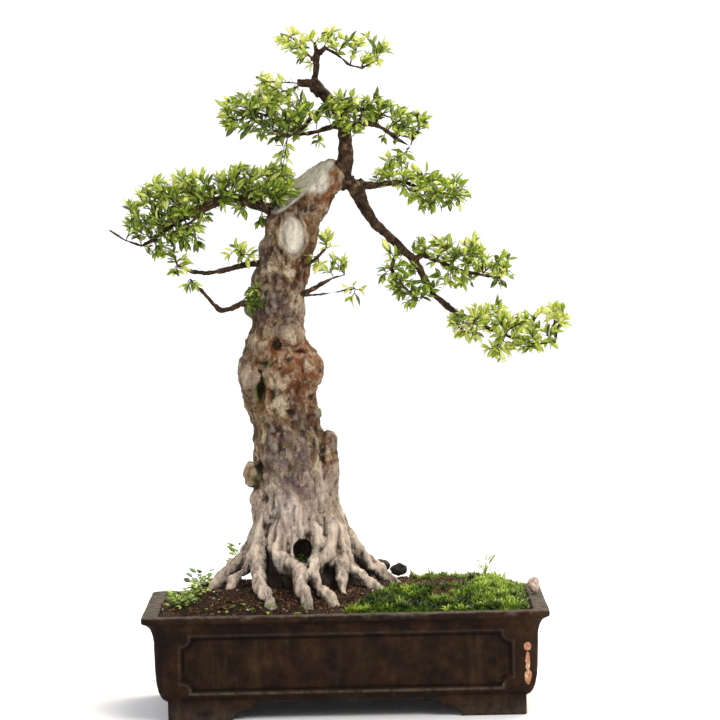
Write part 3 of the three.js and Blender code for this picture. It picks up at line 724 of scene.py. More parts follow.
# Swellings and holes: x, height, half width, half height, push outwards, all in millimetres.
SWELLINGS = [
    (-65, 467, 17, 16, 8), (-110, 416, 14, 26, 7), (-40, 424, 15, 20, 6), (-112, 410, 9, 12, 4),
    (-30, 410, 8, 9, 4), (-52, 226, 16, 10, 4), (-72, 385, 16, 14, 4), (-86, 340, 9, 40, 3),
    (-50, 345, 12, 16, 3), (-90, 445, 12, 9, 4), (-34, 398, 9, 8, 4), (-58, 520, 18, 12, 2.5),
    (-20, 190, 10, 12, 4), (-92, 200, 12, 14, 4), (-40, 470, 10, 12, -4),
]
HOLES = [
    (-52, 197, 10, 15, -15), (-20, 171, 8, 11, -8), (-70, 570, 5, 6, -5), (-103, 404, 5, 16, -10),
    (-50, 446, 13, 4, -4), (-84, 392, 6, 10, -5), (-52, 400, 5, 8, -4), (-97, 432, 8, 4, -4),
    (-110, 281, 5, 7, -4), (-35, 330, 4, 12, -3), (-80, 480, 5, 12, -3), (-20, 345, 5, 7, -4),
    (-64, 436, 6, 4, -4), (-72, 420, 4, 16, -4), (-104, 300, 3, 16, -4), (-98, 262, 4, 10, -4),
    (-62, 370, 9, 4, -4), (-96, 186, 5, 12, -6), (-74, 176, 5, 12, -6), (-43, 212, 4, 10, -5),
    (-36, 386, 6, 3, -3), (-92, 522, 4, 14, -4), (-50, 540, 5, 7, -3), (-78, 455, 4, 9, -4),
]


def sculpt_trunk():
    """The trunk's mesh, and at each point how far it is sawn and how far it is healed over."""
    mesh = after_modifiers(
        merged_copy("trunk"),
        ("REMESH", {"mode": "VOXEL", "voxel_size": 1.8 * MM}),
        ("SMOOTH", {"factor": 0.5, "iterations": 14}),
    )
    co = places_of(mesh)
    push = np.zeros(len(co))
    for x, z, wide, tall, amount in SWELLINGS + HOLES:
        push += around(co, x, z, wide, tall) * amount
    set_places(mesh, co + normals_of(mesh) * push[:, None] * MM)

    co, no = places_of(mesh), normals_of(mesh)
    off_saw_cut = ((co - SAWN_POINT) @ SAWN_NORMAL) / (2.5 * MM)
    sawn = np.exp(-off_saw_cut ** 2) * smooth_step(no @ SAWN_NORMAL, 0.75, 0.92)
    off_scar = (co[:, [0, 2]] - SCAR_MIDDLE) / SCAR_HALF
    ring = np.hypot(off_scar[:, 0], off_scar[:, 1])
    front = (no[:, 1] < 0.1) & (np.abs(co[:, 2] - SCAR_MIDDLE[1]) < 60 * MM)
    healed = (1 - smooth_step(ring, 0.8, 1.0)) * front
    low = 1 - smooth_step(co[:, 2], 190 * MM, 330 * MM)
    push = noise_at(co, 34 * MM, 3) * 4.5
    push += noise_at(co, 12 * MM, 3, (0.8, 0.8, 4.5), 5.1) * (1.2 + 2.6 * low)
    plates = noise_at(co, 9 * MM, 3, (1, 1, 1.5), 8.3)
    push += np.clip(plates * 3, -0.5, 0.5) * 1.5 * (1 - 0.7 * low)
    cracks = np.exp(-(noise_at(co, 15 * MM, 2, (0.8, 0.8, 3), 2.9) / 0.035) ** 2)
    push -= cracks * (1.6 - 0.6 * low)
    push += noise_at(co, 3.4 * MM, 2, shift=4.4) * 0.5
    calm = 1 - 0.9 * np.clip(sawn + healed, 0, 1)
    push = push * calm + 2.6 * np.exp(-((ring - 1.08) / 0.16) ** 2) * front - healed * 1.2
    set_places(mesh, co + no * push[:, None] * MM)
    mesh = after_modifiers(mesh, ("SMOOTH", {"factor": 0.3, "iterations": 1}))
    return mesh, sawn, healed


def hollowness(mesh, rounds=10):
    """How far each point lies below the average of the surface round it, in millimetres."""
    co, no = places_of(mesh), normals_of(mesh)
    ends = np.zeros(len(mesh.edges) * 2, np.int64)
    mesh.edges.foreach_get("vertices", ends)
    a, b = ends.reshape(-1, 2).T
    n = len(co)
    neighbours = np.bincount(a, minlength=n) + np.bincount(b, minlength=n)
    average = co.copy()
    for _ in range(rounds):
        sums = [np.bincount(a, average[b, k], n) + np.bincount(b, average[a, k], n) for k in range(3)]
        average = np.array(sums).T / neighbours[:, None]
    return ((average - co) * no).sum(1) / MM


trunk_mesh, sawn, healed = sculpt_trunk()
print("trunk:", len(trunk_mesh.vertices), "points")

# %% [markdown]
# Bark this old is a patchwork. High on the trunk, cream new bark shows where grey-brown plates have fallen,
# with orange-brown dust in the cracks; lower down it weathers to a violet grey, and the flutes and roots are
# rubbed to a pale grey beige. Moss sits in moist hollows. The hollows, the holes and the gaps between the
# roots are darkened as painted shade, and so is the left side of the trunk. Each of these zones is painted as
# a number at every point, so that the material only has to mix colours.

# %% Trunk zones
def enclosure(mesh, ceiling, reach):
    """The share of the directions off each point that meet other wood within the reach, from 0 to 1."""
    co, no = places_of(mesh), normals_of(mesh)
    number = np.arange(24)
    lift = 1 - (number + 0.5) / 12
    flat = np.sqrt(1 - lift ** 2)
    turn = number * math.pi * (3 - math.sqrt(5))
    directions = np.stack([flat * np.cos(turn), flat * np.sin(turn), lift], 1)
    closed = np.zeros(len(co))
    for i in np.nonzero(co[:, 2] < ceiling)[0]:
        outward = directions[directions @ no[i] > 0.15]
        start = Vector(co[i] + no[i] * 2.5 * MM)
        met = 0
        for direction in outward:
            normal = trunk_skin.ray_cast(start, Vector(direction), reach)[1]
            met += normal is not None and normal.dot(Vector(direction)) < 0
        closed[i] = met / len(outward)
    return closed


TRUNK_AXIS = np.array((-62, 6)) * MM


def behind_roots(co, sectors=40, storey_height=9 * MM):
    """How far each point stands in from the outermost wood on its own side and height, in millimetres."""
    x, y = (co[:, :2] - TRUNK_AXIS).T
    radius = np.hypot(x, y)
    sector = ((np.arctan2(y, x) / (2 * math.pi) + 0.5) * sectors).astype(int) % sectors
    storey = (co[:, 2] / storey_height).astype(int)
    outermost = np.zeros((sectors, storey.max() + 1))
    np.maximum.at(outermost, (sector, storey), radius)
    outermost = np.maximum(outermost, np.maximum(np.roll(outermost, 1, 0), np.roll(outermost, -1, 0)))
    return (outermost[sector, storey] - radius) / MM


# Marks on the front of the trunk: strength, x, height, half width and half height in millimetres.
RUST = [
    (1, -20, 545, 26, 60), (1, -60, 452, 44, 26), (0.9, -34, 400, 30, 40), (0.9, -104, 385, 16, 30),
    (0.6, -18, 310, 12, 40), (1, -8, 645, 16, 34), (0.8, -60, 425, 30, 24), (1.2, -116, 290, 16, 22),
    (0.7, -88, 620, 12, 30),
]
VIOLET = [
    (1, -66, 292, 34, 52), (0.7, -60, 490, 34, 30), (0.6, -96, 560, 16, 60), (0.6, -40, 372, 16, 14),
    (0.5, -112, 440, 14, 20),
]
MOSS = [
    (1.3, -52, 190, 9, 12), (0.9, -104, 402, 8, 18), (1, -118, 500, 9, 20), (1, -24, 366, 8, 9),
    (0.6, -110, 285, 8, 16), (0.6, -95, 640, 10, 14),
]
# Painted shade down the left side of the trunk, in the same columns.
SHADED_SIDE_MARKS = [(0.9, -122, 430, 18, 95), (0.7, -112, 560, 14, 70)]


ZONES = ("hollow", "ridge", "base", "damp", "rust", "violet", "moss", "bare_wood")


def marked(co, marks):
    """The marks of one kind added up at each point."""
    return sum(strength * around(co, *mark) for strength, *mark in marks)


def paint_trunk(mesh):
    """Paints each zone of the bark, and the painted shade of its hollows and its left side, as a number
    between 0 and 1.
    """
    co, no = places_of(mesh), normals_of(mesh)
    z = co[:, 2] / MM
    depth = hollowness(mesh)
    base = 1 - smooth_step(z + noise_at(co, 40 * MM, 2) * 60, 225, 330)
    ground = 1 - smooth_step(z, 128, 150)
    holes = marked(co, [(1, *hole[:4]) for hole in HOLES])
    # Painted shade: wide hollows, spots that nearby wood closes off, and the gaps behind the roots.
    shade = smooth_step(hollowness(mesh, 90), 1.0, 5.5) * 0.75
    shade += smooth_step(enclosure(mesh, 560 * MM, 45 * MM), 0.1, 0.55) * 0.95
    shade += smooth_step(behind_roots(co), 13, 34) * (1 - smooth_step(z, 190, 222)) * 0.95
    weathered_end = smooth_step(around(co, -24, 657, 19, 19), 0.35, 0.7)
    zones = {
        "hollow": smooth_step(depth, 0.25, 1.9) + smooth_step(holes, 0.45, 1.0) + shade,
        "ridge": smooth_step(-depth, 0.15, 1.2) * (0.45 + 0.55 * base),
        "base": base,
        # Darker near the soil where the bark is damp, and down the left side as painted shade.
        "damp": ground + marked(co, SHADED_SIDE_MARKS),
        "rust": marked(co, RUST),
        "violet": marked(co, VIOLET),
        "moss": marked(co, MOSS) + 0.55 * smooth_step(no[:, 2], 0.1, 0.8) * ground,
        "bare_wood": sawn + healed + weathered_end,
    }
    for name, values in zones.items():
        values = np.clip(values, 0, 1)
        paint(mesh, name, values)
        print(f"{name}: {values.mean():.0%} of the bark")


paint_trunk(trunk_mesh)

# %% [markdown]
# The bark's material reads those numbers. Each colour is laid over the last one through its own zone times
# its own noise, so every patch has a ragged edge, and the painted shade of the hollows comes near the end.
# The plates are two centimetres wide high up and stretched into streaks lower down; the roughness is high,
# because old bark is dry.

# %% Trunk bark
def make_trunk_bark():
    """Bark that mixes its colours, and its painted shade, by the painted zones."""
    material, tree = new_material("weathered_flaking_bark")
    place = add_node(tree, "ShaderNodeTexCoord").outputs["Object"]

    def cloud(width, detail=4.0, rough=0.6, stretch=(1, 1, 1), shift=0.0):
        settings = {"Location": (shift,) * 3, "Scale": stretch}
        moved = add_node(tree, "ShaderNodeMapping", settings, {"Vector": place})
        settings = {"Scale": 1 / width, "Detail": detail, "Roughness": rough, "Distortion": 0.4}
        return add_node(tree, "ShaderNodeTexNoise", settings, {"Vector": moved})

    def above(pattern, low, high):
        return add_node(tree, "ShaderNodeMapRange", {"From Min": low, "From Max": high}, {"Value": pattern})

    zone = {
        name: add_node(tree, "ShaderNodeAttribute", {"attribute_name": name}).outputs["Fac"] for name in ZONES
    }

    patches = cloud(0.021, 6.0, 0.7, (1, 1, 0.62))
    upper = ramp(tree, patches, [
        (0.33, "#190e07"), (0.42, "#402a19"), (0.49, "#624a31"), (0.55, "#876f50"), (0.61, "#c9b999"),
        (0.7, "#746e4e"),
    ])
    streaks = cloud(0.011, 5.0, 0.62, (1, 1, 0.16), 3.0)
    lower = ramp(tree, streaks, [(0.33, "#6b5747"), (0.44, "#a08d7c"), (0.54, "#c6b6a6"), (0.66, "#e0d4c6")])
    colour = blend(tree, zone["base"], upper, lower)
    wood_grain = cloud(0.010, 5.0, 0.6, (1, 1, 0.4), 5.0)
    wood = ramp(tree, wood_grain, [(0.35, "#a39c8e"), (0.5, "#cbc6b9"), (0.68, "#dedace")])
    lichen = above(cloud(0.0075, 5.0, 0.7, shift=11.0), 0.6, 0.68)
    green = above(cloud(0.02, 4.0, 0.6, shift=15.0), 0.58, 0.74)
    for swatch, *masks in (
        ("#6f5a60", zone["violet"], above(cloud(0.010, 5.0), 0.4, 0.56), 0.9),
        ("#7c461f", zone["rust"], above(cloud(0.010, 5.0, 0.65, shift=7.0), 0.36, 0.56)),
        ("#a5a88c", lichen, 0.75),
        ("#717747", green, 0.5),
        ("#e3d8c6", zone["ridge"], 0.45),
        # Damp bark near the soil, and painted shade down the left side.
        ("#4a3a29", zone["damp"], above(cloud(0.012, shift=2.0), 0.35, 0.65), 0.75),
        (wood, zone["bare_wood"], 0.92),
        # Painted shade in the hollows, the holes and between the roots.
        ("#1a0f08", zone["hollow"], 0.9),
        ("#53701f", zone["moss"], above(cloud(0.004, 4.0, 0.7, shift=9.0), 0.4, 0.58)),
    ):
        colour = blend(tree, product(tree, *masks), colour, swatch)
    fine = cloud(0.0018, 4.0, 0.7)
    colour = blend(tree, 0.5, colour, ramp(tree, fine, [(0.35, "#4a4a4a"), (0.65, "#b4b4b4")]), "OVERLAY")
    height = add_node(tree, "ShaderNodeMath", {"operation": "ADD"}, {0: fine, 1: patches})
    bump = add_node(tree, "ShaderNodeBump", {"Strength": 0.6, "Distance": 0.0014}, {"Height": height})
    end_material(tree, {"Roughness": 0.86, "IOR": 1.45, "Specular IOR Level": 0.25}, {
        "Base Color": colour, "Normal": bump,
    })
    return material


add_piece("old_trunk", trunk_mesh, make_trunk_bark(), ["trunk"])

# %% [markdown]
# The stems that leave the trunk are younger and darker. Each plain stem is remeshed, swollen into a collar
# where it meets the wood that carries it, and roughened with knuckles where shoots were pinched off year
# after year.

# %% Stems
STEMS = [name for name in frame["nodes"] if name.startswith(("crown_", "left_", "right_", "shoot_"))]
stem_skins = {name: skin_of(name) for name in STEMS}
COLLAR = 7 * MM


def sculpt_stem(name):
    """A stem that thickens and reaches in where it meets the trunk or another stem."""
    mesh = after_modifiers(
        merged_copy(name),
        ("REMESH", {"mode": "VOXEL", "voxel_size": 1.0 * MM}),
        ("SMOOTH", {"factor": 0.5, "iterations": 4}),
    )
    co, no = places_of(mesh), normals_of(mesh)
    carriers = [trunk_skin] + [skin for other, skin in stem_skins.items() if other != name]
    push = noise_at(co, 16 * MM, 2) * 1.5 + noise_at(co, 5 * MM, 3, shift=6.2) * 0.8
    moved = co + no * push[:, None] * MM
    for i, point in enumerate(moved):
        for skin in carriers:
            near, _, _, gap = skin.find_nearest(Vector(point), COLLAR)
            if near is None:
                continue
            moved[i] += no[i] * (1 - gap / COLLAR) ** 2 * 1.5 * MM
            if gap < 2 * MM:
                inwards = np.array(near) - co[i]
                moved[i] += inwards / max(np.linalg.norm(inwards), 1e-6) * 4 * MM
    set_places(mesh, moved)
    # Painted shade in the hollows of the stem.
    paint(mesh, "hollow", smooth_step(hollowness(mesh, 6), 0.1, 0.8))
    return mesh


def make_stem_bark():
    """Dark young bark with paler ridges and painted shade in its hollows."""
    material, tree = new_material("young_ridged_bark")
    place = add_node(tree, "ShaderNodeTexCoord").outputs["Object"]
    cloudy = {"Scale": 1 / 0.009, "Detail": 5.0, "Roughness": 0.65}
    patches = add_node(tree, "ShaderNodeTexNoise", cloudy, {"Vector": place})
    bark = ramp(tree, patches, [
        (0.32, "#130c08"), (0.45, "#291b12"), (0.56, "#45311f"), (0.66, "#6b573e"), (0.74, "#8d836b"),
    ])
    hollow = add_node(tree, "ShaderNodeAttribute", {"attribute_name": "hollow"}).outputs["Fac"]
    # The hollows are darkened as painted shade.
    colour = blend(tree, product(tree, hollow, 0.7), bark, "#1c130d")
    fine = add_node(tree, "ShaderNodeTexNoise", {"Scale": 1 / 0.0016, "Detail": 3.0}, {"Vector": place})
    bump = add_node(tree, "ShaderNodeBump", {"Strength": 0.5, "Distance": 0.0008}, {"Height": fine})
    end_material(tree, {"Roughness": 0.82, "IOR": 1.45, "Specular IOR Level": 0.25}, {
        "Base Color": colour, "Normal": bump,
    })
    return material


stem_bark = make_stem_bark()
for name in STEMS:
    add_piece(name + "_bark", sculpt_stem(name), stem_bark, [name])

# %% [markdown]
# Small leaves repeat by the thousand, so one leaf is modelled and a Geometry Nodes tree puts it at every
# point of a cloud of points. Each point carries its own turn, size and tint. The leaf is a narrow pointed
# oval, folded along its midrib and bent back at the tip, closed underneath, with a short stalk.

# %% The leaf
def make_leaf(name, length, width, fold=0.22, bend=0.16):
    """One closed leaf that grows along +Y from the origin, with its upper face towards +Z."""
    thick = 0.35 * MM
    rows = [(0.02, 0.05), (0.2, 0.62), (0.45, 1.0), (0.72, 0.72)]
    vertices = [(0, -0.12 * length, -0.02 * length)]
    for along, across in rows:
        y, sag = along * length, -bend * length * along ** 2
        half = across * width / 2
        edge = sag + fold * half
        vertices += [(-half, y, edge), (0, y, sag), (half, y, edge), (0, y, sag - thick)]
    vertices.append((0, length, -bend * length))
    tip = len(vertices) - 1
    faces = [(0, 3, 2), (0, 2, 1), (0, 1, 4), (0, 4, 3)]
    for row in range(len(rows) - 1):
        left, rib, right, under = (1 + row * 4 + k for k in range(4))
        faces += [(left, rib, rib + 4, left + 4), (rib, right, right + 4, rib + 4)]
        faces += [(right, under, under + 4, right + 4), (under, left, left + 4, under + 4)]
    left, rib, right, under = (1 + (len(rows) - 1) * 4 + k for k in range(4))
    faces += [(left, rib, tip), (rib, right, tip), (right, under, tip), (under, left, tip)]
    mesh = mesh_of(name, vertices, faces)
    paint(mesh, "edge", np.array([abs(v.co.x) for v in mesh.vertices]) / (width / 2))
    mesh.shade_smooth()
    return mesh


leaf_mesh = make_leaf("leaf", 18.5 * MM, 7.6 * MM)
print("leaf:", len(leaf_mesh.polygons), "faces")

# %% [markdown]
# Two node trees repeat shapes here, one that puts a shape at given points and, later, one that throws it
# over a surface. They begin with named inputs and end in the same way: the copies are made real and get
# their finish, so that what reaches the scene is a plain mesh.

# %% The tree that places shapes
def new_tree(name, inputs):
    """A node tree with named inputs and one result, and the node that gives its inputs."""
    tree = bpy.data.node_groups.new(name, "GeometryNodeTree")
    for title, kind in inputs.items():
        tree.interface.new_socket(title, in_out="INPUT", socket_type="NodeSocket" + kind)
    tree.interface.new_socket("Result", in_out="OUTPUT", socket_type="NodeSocketGeometry")
    return tree, add_node(tree, "NodeGroupInput")


def end_tree(tree, given, points, rotation, size):
    """Puts the given shape at the points, makes the copies real and gives them their finish."""
    shape = add_node(tree, "GeometryNodeObjectInfo", links={"Object": given.outputs["Shape"]})
    placed = add_node(tree, "GeometryNodeInstanceOnPoints", links={
        "Points": points, "Instance": shape.outputs["Geometry"], "Rotation": rotation, "Scale": size,
    })
    real = add_node(tree, "GeometryNodeRealizeInstances", links={"Geometry": placed})
    finish = {"Geometry": real, "Material": given.outputs["Finish"]}
    finished = add_node(tree, "GeometryNodeSetMaterial", links=finish)
    add_node(tree, "NodeGroupOutput", links={"Result": finished})


def make_placer():
    """A node tree that puts a shape at each point, by the point's own turn, size and tint."""
    tree, given = new_tree("place_on_points", {"Points": "Geometry", "Shape": "Object", "Finish": "Material"})
    turn = add_node(tree, "GeometryNodeInputNamedAttribute", {"data_type": "FLOAT_VECTOR", "Name": "turn"})
    rotation = add_node(tree, "FunctionNodeEulerToRotation", links={0: turn})
    size = add_node(tree, "GeometryNodeInputNamedAttribute", {"data_type": "FLOAT", "Name": "size"})
    end_tree(tree, given, given.outputs["Points"], rotation, size)
    return tree


PLACER = make_placer()
shelf = bpy.data.collections.new("shapes_to_repeat")


def run_tree(tree, mesh, inputs):
    """The plain mesh that a node tree makes from a mesh, with inputs given by name."""
    worker = bpy.data.objects.new("worker", mesh)
    scene.collection.objects.link(worker)
    modifier = worker.modifiers.new("nodes", "NODES")
    modifier.node_group = tree
    for item in tree.interface.items_tree:
        if item.in_out == "INPUT" and item.name in inputs:
            modifier[item.identifier] = inputs[item.name]
    graph = bpy.context.evaluated_depsgraph_get()
    made = bpy.data.meshes.new_from_object(worker.evaluated_get(graph))
    bpy.data.objects.remove(worker)
    return made


def shelved(mesh):
    """An object that holds a shape for a node tree to repeat. It is never in the scene."""
    holder = bpy.data.objects.new(mesh.name, mesh)
    shelf.objects.link(holder)
    return holder


def place_leaves(spots, shape, material):
    """A leaf at each spot. Spots are (place, direction, upper side, size, tint)."""
    points = mesh_of("spots", [spot[0] for spot in spots], [])
    turns = []
    for _, along, up, _, _ in spots:
        y = Vector(along).normalized()
        x = y.cross(Vector(up)).normalized()
        turns += list(Matrix((x, y, x.cross(y))).transposed().to_euler())
    turn = points.attributes.new("turn", "FLOAT_VECTOR", "POINT")
    turn.data.foreach_set("vector", turns)
    paint(points, "size", [spot[3] for spot in spots])
    paint(points, "tint", [spot[4] for spot in spots])
    return run_tree(PLACER, points, {"Shape": shape, "Finish": material})


def add_leaves(name, spots, shape, material, replaced=()):
    """A piece made of one shape of leaf at each spot."""
    add_piece(name, place_leaves(spots, shape, material), material, replaced)


print(PLACER.name, "has", len(PLACER.nodes), "nodes")


# %% [markdown]
# A living leaf is bright because light comes through it, so the leaf material is part glossy skin and part
# translucent flesh. Young leaves at the tips are yellow green and old ones are deep green, and the tint of
# each point chooses between them. The tint also carries painted light and shade: lighter at the top and
# outside of a cloud, darker underneath and inside. The midrib is paler, and a fine mottle keeps any two
# leaves from looking the same.

# %% Leaf material
def make_leaf_material(name, swatches, glow):
    """Glossy skin over flesh that lets light through, from dark to light swatches."""
    material, tree = new_material(name)
    place = add_node(tree, "ShaderNodeTexCoord").outputs["Object"]
    mottle = add_node(tree, "ShaderNodeTexNoise", {"Scale": 1 / 0.006, "Detail": 3.0}, {"Vector": place})
    shift = add_node(tree, "ShaderNodeMath", {"operation": "MULTIPLY_ADD", 1: 0.3, 2: -0.15}, {0: mottle})
    own_tint = add_node(tree, "ShaderNodeAttribute", {"attribute_name": "tint"}).outputs["Fac"]
    tint = add_node(tree, "ShaderNodeMath", {"operation": "ADD"}, {0: shift, 1: own_tint})
    stops = list(zip(np.linspace(0.04, 0.96, len(swatches)).tolist(), swatches))
    green = ramp(tree, tint, stops)
    rib_range = {"From Min": 0.22, "From Max": 0.02, "To Max": 0.35}
    edge = add_node(tree, "ShaderNodeAttribute", {"attribute_name": "edge"}).outputs["Fac"]
    rib = add_node(tree, "ShaderNodeMapRange", rib_range, {"Value": edge})
    colour = blend(tree, rib, green, "#d9e58a")
    skin_settings = {"Roughness": 0.42, "IOR": 1.42, "Specular IOR Level": 0.5}
    skin = add_node(tree, "ShaderNodeBsdfPrincipled", skin_settings, {"Base Color": colour})
    lit = blend(tree, 0.5, green, "#eaf07c")
    flesh = add_node(tree, "ShaderNodeBsdfTranslucent", links={"Color": lit})
    both = add_node(tree, "ShaderNodeMixShader", {0: glow}, {1: skin, 2: flesh})
    add_node(tree, "ShaderNodeOutputMaterial", links={"Surface": both})
    return material


LEAF_GREENS = ["#182a05", "#456317", "#8fac35", "#cadb5c", "#f6f6a4"]
leaf_material = make_leaf_material("living_privet_leaf", LEAF_GREENS, 0.45)
print(leaf_material.name, "has", len(leaf_material.node_tree.nodes), "nodes")

# %% [markdown]
# Twigs are grown into each cloud, because that is how they come to be where they are: a twig tip moves
# towards the free space round it, forks where the space lies two ways, and stops where others have taken
# the light. Points spread through the cloud's plain solid stand for that space. A cloud can have its own
# spacing of points, and young clouds get lighter leaves.

# %% Space for the twigs
CLOUDS = [name for name in frame["nodes"] if name.startswith("foliage_")]
SPACING = {"foliage_left_outer": 10.5, "foliage_left_inner": 10.5, "foliage_upper_left": 10.5}
YOUNG = {
    "foliage_crown_left": 0.2, "foliage_crown_right": 0.22, "foliage_right_end": 0.24,
    "foliage_shoot_tip": 0.35, "foliage_left_sprout": 0.25, "foliage_left_tip": 0.15,
    "foliage_right_upper": 0.08, "foliage_shoot_middle": 0.1, "foliage_trunk_left": -0.3,
    "foliage_right_middle": 0.05,
}


def spread_points(cloud, dice):
    """Points about evenly spread inside a cloud, fewer where its noise leaves a gap."""
    skin = skin_of(cloud)
    low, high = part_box(cloud)
    gap = SPACING.get(cloud, 11.5) * MM
    airy = -0.22 if (high - low).length > 90 * MM else -1
    points = []
    for x in np.arange(low.x - gap, high.x + gap, gap):
        for y in np.arange(low.y - gap, high.y + gap, gap):
            for z in np.arange(low.z - gap, high.z + gap, gap):
                point = Vector((x, y, z)) + Vector([dice.uniform(-0.5, 0.5) * gap for _ in range(3)])
                near, normal, _, _ = skin.find_nearest(point)
                inside = (point - near).dot(normal) < 2.5 * MM
                if inside and noise.noise(point / (22 * MM)) > airy:
                    points.append(point)
    return np.array(points)


def starts_for(points, cloud):
    """Places on the stems that lie near a cloud."""
    every = np.concatenate([places_of(frame["nodes"][name].data) for name in STEMS])
    if cloud == "foliage_trunk_left":
        every = np.array([on_trunk(-100, z) for z in range(490, 530, 8)])
    middle = points.mean(0)
    reach = max(np.linalg.norm(points - middle, axis=1).max() * 0.9, 14 * MM)
    gaps = np.linalg.norm(every - middle, axis=1)
    near = every[gaps < reach]
    if len(near) < 4:
        near = every[np.argsort(gaps)[:4]]
    return near


print(len(CLOUDS), "clouds of foliage on", len(STEMS), "stems")

# %% [markdown]
# Growth goes in steps of 5 mm. At each step every free point pulls on the twig place nearest to it, each
# place that is pulled grows a step that way, wandering a little and rising a little towards the light, and
# the points that have been reached are taken away. No place forks into more than three.

# %% Growing
STEP = 5 * MM
REACH = 42 * MM
CLEARED = 7.5 * MM
TIP_RADIUS = 0.6 * MM
MOST_STEPS = 70
MOST_FORKS = 3
noise.seed_set(11)


def grow_twigs(points, starts):
    """Places and the number of each one's parent, -1 for a start, by growing towards the free points."""
    places = [np.array(p) for p in starts]
    parents = [-1] * len(places)
    free = points.copy()
    grown_from = {}
    for _ in range(MOST_STEPS):
        if not len(free):
            break
        here = np.array(places)
        gaps = np.linalg.norm(free[:, None] - here[None], axis=2)
        nearest = gaps.argmin(1)
        distance = gaps[np.arange(len(free)), nearest]
        limit = max(REACH, distance.min() * 1.05)
        pulls = {}
        for point, node, gap in zip(free, nearest, distance):
            if gap < limit:
                pulls.setdefault(node, []).append((point - here[node]) / gap)
        added = False
        for node, directions in pulls.items():
            if grown_from.get(node, 0) >= MOST_FORKS:
                continue
            way = np.sum(directions, axis=0)
            length = np.linalg.norm(way)
            if length < 1e-6:
                continue
            grown_from[node] = grown_from.get(node, 0) + 1
            wander = np.array(noise.noise_vector(Vector(here[node] / (9 * MM)))) * 0.35
            way = way / length + wander + (0, 0, 0.12)
            places.append(here[node] + way / np.linalg.norm(way) * STEP)
            parents.append(int(node))
            added = True
        new_places = np.array(places[len(here):] or [here[0]])
        gaps = np.linalg.norm(free[:, None] - new_places[None], axis=2)
        free = free[gaps.min(1) > CLEARED]
        if not added:
            break
    return np.array(places), parents


print("growing in steps of", STEP / MM, "mm")

# %% [markdown]
# Thickness follows from how many tips a twig feeds, by the old rule that a branch has the cross-section of
# the twigs it carries. Each run of wood from a fork to a tip is one closed five-sided tube, which starts
# inside the thicker wood, so that no joint stays open.

# %% Twigs as wood
def twig_radii(places, parents):
    """How thick the twig is at each place, from the tips that it feeds."""
    load = np.zeros(len(places))
    children = [[] for _ in places]
    for node in range(len(places) - 1, -1, -1):
        if not children[node]:
            load[node] = 1
        if parents[node] >= 0:
            load[parents[node]] += load[node]
            children[parents[node]].append(node)
    radii = np.minimum(TIP_RADIUS * load ** 0.42, 2.6 * MM)
    return radii, children


def tube(line, radii, sides=5):
    """Rings of points and faces of a closed tube along a line."""
    line = np.array(line)
    ways = np.gradient(line, axis=0)
    ways /= np.maximum(np.linalg.norm(ways, axis=1), 1e-9)[:, None]
    across = np.cross(ways[0], (0.3, 0.5, 0.8))
    vertices, faces = [], []
    for i, (point, way, radius) in enumerate(zip(line, ways, radii)):
        across = across - way * np.dot(across, way)
        across /= max(np.linalg.norm(across), 1e-9)
        other = np.cross(way, across)
        for side in range(sides):
            angle = side / sides * 2 * math.pi
            vertices.append(point + (across * math.cos(angle) + other * math.sin(angle)) * radius)
        if i:
            for k in range(sides):
                a, b = (i - 1) * sides + k, (i - 1) * sides + (k + 1) % sides
                faces.append((a, b, b + sides, a + sides))
    last = (len(line) - 1) * sides
    faces += [tuple(range(sides))[::-1], tuple(range(last, last + sides))]
    return vertices, faces


def twig_mesh(places, parents, radii, children):
    """One tube from each fork, or each start, along its thickest way to a tip."""
    main = [max(after, key=lambda child: radii[child]) if after else None for after in children]
    vertices, faces = [], []
    for node, parent in enumerate(parents):
        if parent < 0 or (main[parent] == node and parents[parent] >= 0):
            continue
        line, thick = [places[parent], places[node]], [radii[node], radii[node]]
        here = node
        while main[here] is not None:
            here = main[here]
            line.append(places[here])
            thick.append(radii[here])
        tube_vertices, tube_faces = tube(line, thick)
        faces += [tuple(k + len(vertices) for k in face) for face in tube_faces]
        vertices += tube_vertices
    return mesh_of("twigs", vertices, faces)


print("the thinnest twig is", 2 * TIP_RADIUS / MM, "mm thick")

# %% [markdown]
# Leaves sit singly along the thin ends of the twigs and in a whorl of four to six at each tip. They lean
# outwards and up. Those at the top and outside of a cloud are made lighter as painted light, and those
# underneath and inside darker as painted shade; the ones at the tips are younger and lighter.

